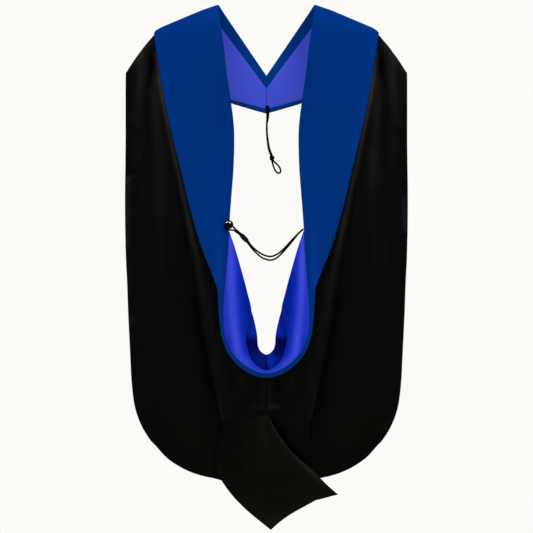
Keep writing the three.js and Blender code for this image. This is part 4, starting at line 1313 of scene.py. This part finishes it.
@dataclass
class CowlLining:
    """Satin turned out inside the lip, and the layer that lies under it."""

    edge: tuple[tuple[float, float], ...] = (
        (0.762, 0.608), (0.645, 0.653), (0.51, 0.713), (0.385, 0.774), (0.305, 0.82),
        (0.34, 0.852), (0.413, 0.89), (0.37, 0.927), (0.31, 0.951), (0.177, 0.97), (0.0, 0.981))
    under: tuple[tuple[float, float, float, float], ...] = (
        (0.385, 0.774, 0.56, 0.784), (0.31, 0.82, 0.57, 0.835), (0.262, 0.843, 0.6, 0.865),
        (0.195, 0.883, 0.6, 0.905), (0.176, 0.913, 0.53, 0.945), (0.142, 0.926, 0.4, 0.973),
        (0.075, 0.935, 0.2, 0.99), (0.0, 0.939, 0.0, 0.996))
    start: float = 0.42
    roll_grid: tuple[int, int] = (220, 30)
    under_grid: tuple[int, int] = (90, 21)
    under_depth: float = 12 * MM
    tuck: float = 1.4 * MM
    # Painted shade of the pocket on the under layer: a lighter level at its top, a deep level below
    # shade_from, and painted light added towards its foot over glow_from.
    under_top_light: float = 0.23
    pocket_shade: float = 0.055
    under_glow: float = 0.075
    shade_from: tuple[float, float] = (718, 744)
    glow_from: tuple[float, float] = (744, 790)
    # The painted highlight along the satin roll: points out and down in millimetres with its strength, its
    # widths outside and inside, then the level of painted light outside it and of painted shade inside it.
    ridge: tuple[tuple[float, float, float], ...] = (
        (79, 500, 0.95), (79.5, 620, 0.97), (77, 650, 0.9), (74.5, 682, 0.92), (70.5, 709, 0.9),
        (68.5, 730, 1.0), (66, 757, 1.0), (62.5, 772, 0.88), (50, 787, 0.7), (23, 803, 0.5),
        (0, 810, 0.48))
    ridge_outer: float = 7.5
    ridge_inner: tuple[float, float] = (15.5, 13.0)
    outer_light: float = 0.6
    inner_shade: float = 0.16

    @staticmethod
    def both_halves(rows: Grid, mirrored: Sequence[int]) -> Grid:
        """Rows of the left half followed by the right half's, from top to top."""
        other = rows[:-1][::-1].copy()
        other[:, list(mirrored)] *= -1
        return np.vstack([rows, other])

    def roll_tracks(self) -> tuple[Track, Track]:
        """Seam line with its rise, and free edge, round the whole U."""
        rows = []
        for k, (inner, fall) in enumerate(self.edge):
            place = SATIN_FIRST_ROW + k + (self.start if k == 0 else 0.0)
            seam = BAND_INNER.at(np.array([min(place, LAST_BAND_ROW)]))[0]
            tucked = self.tuck * min(1.0, (len(self.edge) - 1 - k) / 3)
            rows.append([min(seam[0] - tucked, 0.0), seam[1] + self.tuck * 0.6,
                         -SIZE.half_neck * inner, SIZE.cowl_drop * fall, seam[2]])
        table = self.both_halves(np.array(rows), (0, 2))
        return Track(table[:, [0, 1, 4]]), Track(table[:, [2, 3, 4]])

    def roll_lift(self, seam: Track, free: Track) -> Lift:
        """Height of the satin roll."""
        def lift(places: Grid, shares: Grid) -> Grid:
            """Soft roll outwards, then in at the free edge."""
            a, b = seam.at(places[:, 0]), free.at(places[:, 0])
            width = (np.abs(a[:, 0] - b[:, 0]) + np.abs(a[:, 1] - b[:, 1]))[:, None]
            full = np.minimum(1.0, width / SIZE.half_neck * 2)
            roll = SIZE.satin_roll * full * np.sin(math.pi * shares) * (1 - 0.4 * shares)
            sunk = (SIZE.velvet_wall + SIZE.seam_gap) * (
                1 - smooth_step(self.tuck, 2.2 * self.tuck, shares * width))
            return a[:, 2:3] + roll - SIZE.satin_roll * 0.5 * full * shares ** 2 - sunk
        return lift

    def roll_painted_light(self, points: Grid) -> Grid:
        """Painted light on the satin roll: a painted highlight along a ridge, middling painted light
        outside it, painted shade inside it.

        Args:
            points: the roll's points in metres.

        Returns:
            One tone for each point.
        """
        half = np.stack([np.abs(points[..., 0]), points[..., 1], points[..., 2]], axis=-1)
        crest = np.array(self.ridge)
        down = -half[..., 2] / MM
        outside = half[..., 0] / MM > np.interp(down, crest[:, 1], crest[:, 0])
        near, left, right = (streaked(half, Side.BOTH, 0.0, (Streak(width, self.ridge),))
                             for width in (self.ridge_outer, *self.ridge_inner))
        far = np.where(points[..., 0] < 0, left, right)
        floor = np.where(outside, self.outer_light, self.inner_shade)
        peak = np.where(outside, near, far)
        tone = floor + peak * (1 - floor)
        return tone + streaked(half, Side.BOTH, 0.0, SATIN_STREAKS)

    def build(self, wardrobe: Wardrobe) -> None:
        """Build and dress the roll and the under layer."""
        seam, free = self.roll_tracks()
        lift = self.roll_lift(seam, free)
        rows, columns = self.roll_grid
        places = even_places((seam, free), rows)
        roll = wall_between("cowl_lining", seam, free, places, crowded(columns, 1.3), lift,
                            SIZE.velvet_wall - SIZE.lining_wall, SIZE.velvet_wall)
        roll.masks["tone"] = self.roll_painted_light(roll.upper)
        hang_cloth(roll, wardrobe, SATIN, Cloth.SATIN)
        lengths = (-SIZE.half_neck, SIZE.cowl_drop, -SIZE.half_neck, SIZE.cowl_drop)
        table = self.both_halves(np.array(self.under) * lengths, (0, 2))
        edge, back = Track(table[:, :2]), Track(table[:, 2:])
        first = lift(np.array([[3.0]]), np.array([[1.0]]))[0, 0]
        top = first + SIZE.velvet_wall - SIZE.lining_wall - SIZE.seam_gap
        last = len(table) - 1

        def depth(places: Grid, shares: Grid) -> Grid:
            """Height of the under layer, which sinks away from both its ends."""
            from_end = np.minimum(places, last - places)
            return top - self.under_depth * smooth_step(0.0, 2.0, from_end) + 0 * shares

        rows, columns = self.under_grid
        inner = wall_between("cowl_lining_inner", edge, back, even_places((edge, back), rows),
                             np.linspace(0.0, 1.0, columns), depth, -SIZE.lining_wall, 0.0)
        # Painted shade of the pocket on the under layer, painted lighter at its top and towards its foot.
        shaded = streaked(inner.upper, Side.BOTH, self.pocket_shade, UNDER_STREAKS)
        down = -inner.upper[..., 2] / MM
        shaded = shaded + self.under_glow * smooth_step(*self.glow_from, down)
        inner.masks["tone"] = mix(self.under_top_light, shaded, smooth_step(*self.shade_from, down))
        hang_cloth(inner, wardrobe, SATIN, Cloth.SATIN)


@dataclass
class Braid:
    """A braided cord laid along a route of chosen points in millimetres."""

    name: str
    route: Sequence[Sequence[float]]
    diameter: float
    sides: int = 16
    carriers: int = 4
    fullness: float = 1.36
    relief: float = 0.08
    pitch: float = 2.4
    step: float = 0.3
    end_share: float = 0.9

    def __post_init__(self) -> None:
        """Work out the fine path from the chosen points."""
        points = np.asarray(self.route, dtype=float) * MM
        chosen = np.vstack([2 * points[0] - points[1], points, 2 * points[-1] - points[-2]])
        self.path = self.resample(self.spline(chosen), self.diameter * self.step)

    @staticmethod
    def spline(chosen: Grid) -> Grid:
        """Fine points of the centripetal curve through the chosen points."""
        pieces = []
        for k in range(1, len(chosen) - 2):
            four = chosen[k - 1:k + 3]
            gaps = np.maximum(np.linalg.norm(np.diff(four, axis=0), axis=1), 1e-7)
            knots = np.concatenate([[0.0], np.cumsum(gaps ** 0.5)])
            t = np.linspace(knots[1], knots[2], 25)[:-1, None]

            def blend(a: Grid, b: Grid, start: float, end: float) -> Grid:
                """Value between two knots."""
                return (end - t) / (end - start) * a + (t - start) / (end - start) * b

            a1 = blend(four[0], four[1], knots[0], knots[1])
            a2 = blend(four[1], four[2], knots[1], knots[2])
            a3 = blend(four[2], four[3], knots[2], knots[3])
            b1 = blend(a1, a2, knots[0], knots[2])
            b2 = blend(a2, a3, knots[1], knots[3])
            pieces.append(blend(b1, b2, knots[1], knots[2]))
        pieces.append(chosen[-2][None, :])
        return np.vstack(pieces)

    @staticmethod
    def resample(points: Grid, step: float) -> Grid:
        """Points at even steps along a line."""
        total = run_of(points)
        count = max(2, int(round(total[-1] / step)))
        spots = np.linspace(0.0, total[-1], count + 1)
        return np.stack([np.interp(spots, total, points[:, k]) for k in range(3)], axis=1)

    @property
    def length(self) -> float:
        """Length of the cord along its middle."""
        return float(run_of(self.path)[-1])

    def build(self) -> bpy.types.Object:
        """Make the cord's mesh, with its strands crossing over each other."""
        path = self.path
        forward = unit(np.gradient(path, axis=0))
        across = np.empty_like(path)
        across[0] = unit(np.cross(forward[0], (0.0, 1.0, 0.0)))
        for k in range(1, len(path)):
            across[k] = unit(across[k - 1] - forward[k] * (across[k - 1] @ forward[k]))
        upward = np.cross(forward, across)
        angle = np.linspace(0.0, 2 * math.pi, self.sides, endpoint=False)[None, :]
        along = np.linspace(0.0, self.length, len(path))[:, None]
        turns = 2 * math.pi * along / (self.diameter * self.pitch)
        strands = np.maximum(np.sin(self.carriers * angle + turns * 2),
                             np.sin(self.carriers * angle - turns * 2))
        radius = self.diameter / 2 * (self.fullness + self.relief * strands)
        radius[[0, -1]] *= self.end_share
        ring = (np.cos(angle)[..., None] * across[:, None] + np.sin(angle)[..., None] * upward[:, None])
        return ringed(self.name, path[:, None] + ring * radius[..., None])


BACK_CORD_ROUTE = (
    (80.9, -118.3, -494.0), (76.4, -120.7, -497.9), (70.4, -122.1, -503.4), (52.8, -124.3, -521.9),
    (35.2, -124.6, -540.4), (22.0, -124.9, -550.2), (8.8, -125.0, -554.4), (-8.8, -124.8, -549.7),
    (-26.4, -124.1, -537.2), (-35.2, -123.6, -528.1), (-41.0, -122.1, -519.9), (-48.0, -121.6, -512.7),
    (-54.9, -121.1, -505.5), (-64.8, -120.6, -497.0), (-69.0, -120.4, -493.2), (-74.6, -120.2, -487.4),
    (-81.7, -120.1, -480.4), (-86.4, -119.9, -479.3), (-90.2, -119.7, -482.9), (-91.3, -119.7, -488.0),
    (-89.5, -119.8, -493.0), (-84.0, -120.1, -495.5), (-77.0, -120.4, -496.2), (-71.8, -120.5, -496.6),
    (-67.3, -120.6, -500.0), (-57.0, -121.1, -507.5), (-50.0, -121.6, -514.7), (-43.1, -122.1, -521.9),
    (-35.2, -122.2, -532.3), (-26.4, -123.6, -542.5), (-8.8, -124.6, -557.3), (8.8, -125.0, -562.3),
    (22.0, -124.8, -557.8), (35.2, -124.0, -546.0), (52.8, -122.3, -525.7), (70.4, -119.1, -504.0),
    (76.4, -117.7, -498.3), (80.9, -115.4, -494.4),
)
LOOP_ROUTE = (
    (0.1, 86.9, -221.0), (1.5, 86.9, -232.0), (1.4, 86.4, -242.0), (1.4, 85.3, -250.8),
    (0.8, 84.8, -260.0), (0.6, 84.8, -274.0), (1.2, 84.9, -287.0), (2.6, 84.8, -301.0),
    (4.4, 84.8, -314.0), (7.4, 84.9, -324.6), (10.2, 84.9, -331.5), (11.2, 85.9, -336.5),
    (12.4, 87.2, -341.7), (13.5, 87.0, -348.3), (17.4, 86.6, -359.5), (21.3, 86.3, -366.5),
    (26.0, 86.0, -370.2), (30.3, 85.8, -368.6), (31.5, 85.5, -364.3), (28.8, 85.2, -357.3),
    (23.1, 85.0, -350.5), (17.4, 84.9, -345.4), (14.5, 84.8, -341.2), (13.3, 86.2, -336.5),
    (12.4, 87.4, -331.0), (9.3, 87.5, -323.6), (5.9, 87.6, -313.4), (3.9, 87.7, -301.0),
    (2.0, 87.8, -287.0), (1.2, 87.8, -274.0), (1.4, 87.8, -260.0), (3.5, 87.6, -250.8),
    (4.5, 86.9, -242.0), (4.6, 86.8, -232.0), (3.2, 86.8, -221.0),
)


@dataclass
class Fastenings:
    """Button, doubled cord with its slide, and the knotted loop in front."""

    cord: float = 2.8 * MM
    button_radius: float = 9.7 * MM
    shank_radius: float = 2.4 * MM
    shank_height: float = 5.8 * MM
    lean: float = math.radians(15)
    slide_length: float = 22 * MM
    slide_half: tuple[float, float] = (5.4 * MM, 3.8 * MM)
    slot_half: tuple[float, float] = (4.0 * MM, 2.3 * MM)
    slide_taper: float = 0.36
    slide_rib: float = 0.02
    slide_centre: tuple[float, float, float] = (-49.0, -121.6, -513.7)
    slide_target: tuple[float, float, float] = (-57.9, -120.95, -504.5)
    button_place: tuple[float, float] = (0.789, 0.5905)
    button_rise: float = 0.29
    knot_centre: tuple[float, float, float] = (12.1, 86.0, -336.5)
    knot_size: float = 3.1

    def hang_cord(self, braid: Braid, wardrobe: Wardrobe, nodes: Sequence[str]) -> None:
        """Args:
            braid: the cord.
            wardrobe: the materials.
            nodes: the nodes that it replaces.
        """
        piece = braid.build()
        wardrobe.dress(piece, CORD_BLACK)
        hang(piece, "cord", *nodes)
        LOG.info("%s: %.0f mm of cord", braid.name, braid.length / MM)

    def slide(self) -> bpy.types.Object:
        """Oval slide with a slot that both strands run through."""
        centre, target = np.array(self.slide_centre) * MM, np.array(self.slide_target) * MM
        ahead = unit(target - centre)
        side = unit(np.cross((0.0, 1.0, 0.0), ahead))
        up = np.cross(ahead, side)
        angle = np.linspace(0.0, 2 * math.pi, 32, endpoint=False)
        wide, thick = self.slide_half
        sections = []
        for share in np.linspace(-1.0, 1.0, 41):
            full = 1.0 - self.slide_taper * abs(share) ** 4 - self.slide_rib * math.cos(share * 9 * math.pi)
            sections.append((share, wide * full, thick * full))
        sections += [(share * 0.97, *self.slot_half) for share in np.linspace(1.0, -1.0, 9)]
        share, wide, thick = np.array(sections).T[:, :, None, None]
        round_way = side * np.cos(angle)[:, None], up * np.sin(angle)[:, None]
        rings = centre + ahead * share * self.slide_length / 2 + round_way[0] * wide + round_way[1] * thick
        return ringed("slide_bead", rings, joined=True)

    def ball(self) -> bpy.types.Object:
        """Ball button on its shank."""
        x = np.array([-SIZE.half_neck * self.button_place[0]])
        drop = np.array([SIZE.cowl_drop * self.button_place[1]])
        straight = FORM.normal(x, drop)[0]
        base = FORM.raised(x, drop, np.array([SIZE.cowl_swell * self.button_rise + SIZE.velvet_wall
                                              + SIZE.seam_gap]))[0]
        outward = np.array((straight[0] * math.cos(self.lean) - straight[1] * math.sin(self.lean),
                            straight[0] * math.sin(self.lean) + straight[1] * math.cos(self.lean),
                            straight[2]))
        side = unit(np.cross(outward, (0.0, 0.0, 1.0)))
        up = np.cross(outward, side)
        centre = self.shank_height + math.sqrt(self.button_radius ** 2 - self.shank_radius ** 2)
        profile = [(self.shank_radius * 0.3, 0.0), (self.shank_radius, 0.0),
                   (self.shank_radius, self.shank_height * 0.6)]
        lowest = -math.acos(self.shank_radius / self.button_radius)
        for turn in np.linspace(lowest, math.pi / 2 - 0.05, 26):
            profile.append((self.button_radius * math.cos(turn),
                            centre + self.button_radius * math.sin(turn)))
        angle = np.linspace(0.0, 2 * math.pi, 48, endpoint=False)[:, None]
        around = side * np.cos(angle) + up * np.sin(angle)
        radius, height = np.array(profile).T[:, :, None, None]
        return ringed("ball_button", base + outward * height + around * radius)

    def knot(self) -> bpy.types.Object:
        """Small knot of the same cord."""
        turns = np.linspace(0.0, 2 * math.pi, 60)
        ring = 1.0 + 0.55 * np.cos(3 * turns)
        loops = np.stack([ring * np.cos(2 * turns) * 0.85, 0.75 * np.sin(3 * turns),
                          ring * np.sin(2 * turns)], axis=1)
        return Braid("loop_knot", self.knot_centre + self.knot_size * loops, self.cord).build()

    def build(self, wardrobe: Wardrobe) -> bpy.types.Object:
        """Build and dress every fastening, and return the button."""
        slide, ball, knot = self.slide(), self.ball(), self.knot()
        for piece, finish, slot, node in ((slide, SLIDE_BLACK, "cord", "cord_slide"),
                                          (ball, GLOSS_BLACK, "button", "button"),
                                          (knot, CORD_BLACK, "cord", "front_loop_knot")):
            wardrobe.dress(piece, finish)
            hang(piece, slot, node)
        self.hang_cord(Braid("fastening_cord", BACK_CORD_ROUTE, self.cord), wardrobe,
                       ["back_cord"])
        self.hang_cord(Braid("neck_loop_cord", LOOP_ROUTE, self.cord), wardrobe,
                       ["front_loop_strand_left", "front_loop_strand_right", "front_loop_end"])
        return ball


class Lamp(NamedTuple):
    """A soft square light: its place and side in metres, and its power in watts."""

    name: str
    place: tuple[float, float, float]
    size: float
    power: float


@dataclass
class Studio:
    """Camera, floor and soft light."""

    distance: float = 50.0
    view_width: float = 1.1726
    aim: tuple[float, float, float] = (0.0002, -0.1, -0.5764)
    floor_height: float = -1.32
    floor_size: float = 9.0
    floor_colour: Colour = (0.86, 0.85, 0.83)
    sensor: float = 36.0
    backdrop: Colour = (0.965, 0.955, 0.93)
    room_light: float = 0.45
    lamps: tuple[Lamp, ...] = (
        Lamp("key", (-1.4, -4.2, 0.9), 1.8, 60.0), Lamp("fill", (1.5, -4.2, 0.6), 1.8, 60.0),
        Lamp("front", (0.0, 3.4, 0.8), 1.8, 30.0), Lamp("top", (0.0, -0.6, 2.8), 1.4, 40.0))
    button_lamps: tuple[Lamp, ...] = (
        Lamp("glint left", (-1.93, 0.5, 1.78), 1.6, 2200.0),
        Lamp("glint right", (0.94, -1.45, 2.01), 1.6, 2200.0))

    def camera(self) -> None:
        """Level camera behind the hood, at the photograph's angle."""
        data = bpy.data.cameras.new("camera")
        data.sensor_width = self.sensor
        data.lens = self.sensor * self.distance / self.view_width
        data.clip_end = 4 * self.distance
        camera = bpy.data.objects.new("camera", data)
        camera.location = (self.aim[0], self.aim[1] - self.distance, self.aim[2])
        camera.rotation_euler = (math.pi / 2, 0.0, 0.0)
        bpy.context.collection.objects.link(camera)
        bpy.context.scene.camera = camera

    def light(self, lamp: Lamp) -> bpy.types.Object:
        """Add a lamp that faces the hood."""
        data = bpy.data.lights.new(lamp.name, "AREA")
        data.size = lamp.size
        data.energy = lamp.power
        light = bpy.data.objects.new(lamp.name, data)
        light.location = lamp.place
        aim = np.array(self.aim) - np.array(lamp.place)
        flat = math.hypot(aim[0], aim[1])
        light.rotation_euler = (math.atan2(flat, -aim[2]), 0.0, math.atan2(aim[1], aim[0]) - math.pi / 2)
        bpy.context.collection.objects.link(light)
        return light

    def floor(self) -> None:
        """Plain pale floor below the hood."""
        half = self.floor_size / 2
        corners = [(half * x, half * y, self.floor_height) for x, y in ((-1, -1), (1, -1), (1, 1), (-1, 1))]
        floor = placed(mesh_of_quads("floor", np.array(corners), np.array([[0, 1, 2, 3]])))
        pale = bpy.data.materials.new("pale floor")
        pale.use_nodes = True
        shader = pale.node_tree.nodes["Principled BSDF"]
        shader.inputs["Base Color"].default_value = (*self.floor_colour, 1.0)
        shader.inputs["Roughness"].default_value = 0.9
        floor.data.materials.append(pale)

    def room(self) -> None:
        """Even light all round, and the pale backdrop that the camera sees."""
        world = bpy.data.worlds.new("soft room")
        world.use_nodes = True
        bench = NodeBench(world.node_tree)
        world.node_tree.nodes.clear()
        seen = bench.node("ShaderNodeBackground", {"Color": (*self.backdrop, 1.0), "Strength": 1.0})
        felt = bench.node("ShaderNodeBackground", {"Color": (1.0, 1.0, 1.0, 1.0),
                                                   "Strength": self.room_light})
        path = bench.node("ShaderNodeLightPath")
        choose = bench.node("ShaderNodeMixShader", {
            0: path.outputs["Is Camera Ray"], 1: felt.outputs[0], 2: seen.outputs[0]})
        bench.node("ShaderNodeOutputWorld", {"Surface": choose.outputs["Shader"]})
        bpy.context.scene.world = world
        bpy.context.scene.view_settings.view_transform = "Standard"

    def build(self, button: bpy.types.Object) -> None:
        """Set up the floor, the surrounding light and the lamps.

        Args:
            button: the glossy button, which two small lamps of its own are kept to.
        """
        self.floor()
        self.room()
        for lamp in self.lamps:
            self.light(lamp)
        kept_to = bpy.data.collections.new("button only")
        kept_to.objects.link(button)
        for lamp in self.button_lamps:
            self.light(lamp).light_linking.receiver_collection = kept_to


def main() -> None:
    """Build every piece of the hood and report it."""
    logging.basicConfig(level=logging.INFO, format="%(message)s")
    studio = Studio()
    studio.camera()
    wardrobe = Wardrobe()
    button = Fastenings().build(wardrobe)
    for assembly in (VelvetBands(), Capes(), Cowl(), Tail(), CowlLining()):
        assembly.build(wardrobe)
        LOG.info("%s built", type(assembly).__name__)
    studio.build(button)


if __name__ == "__main__":
    main()
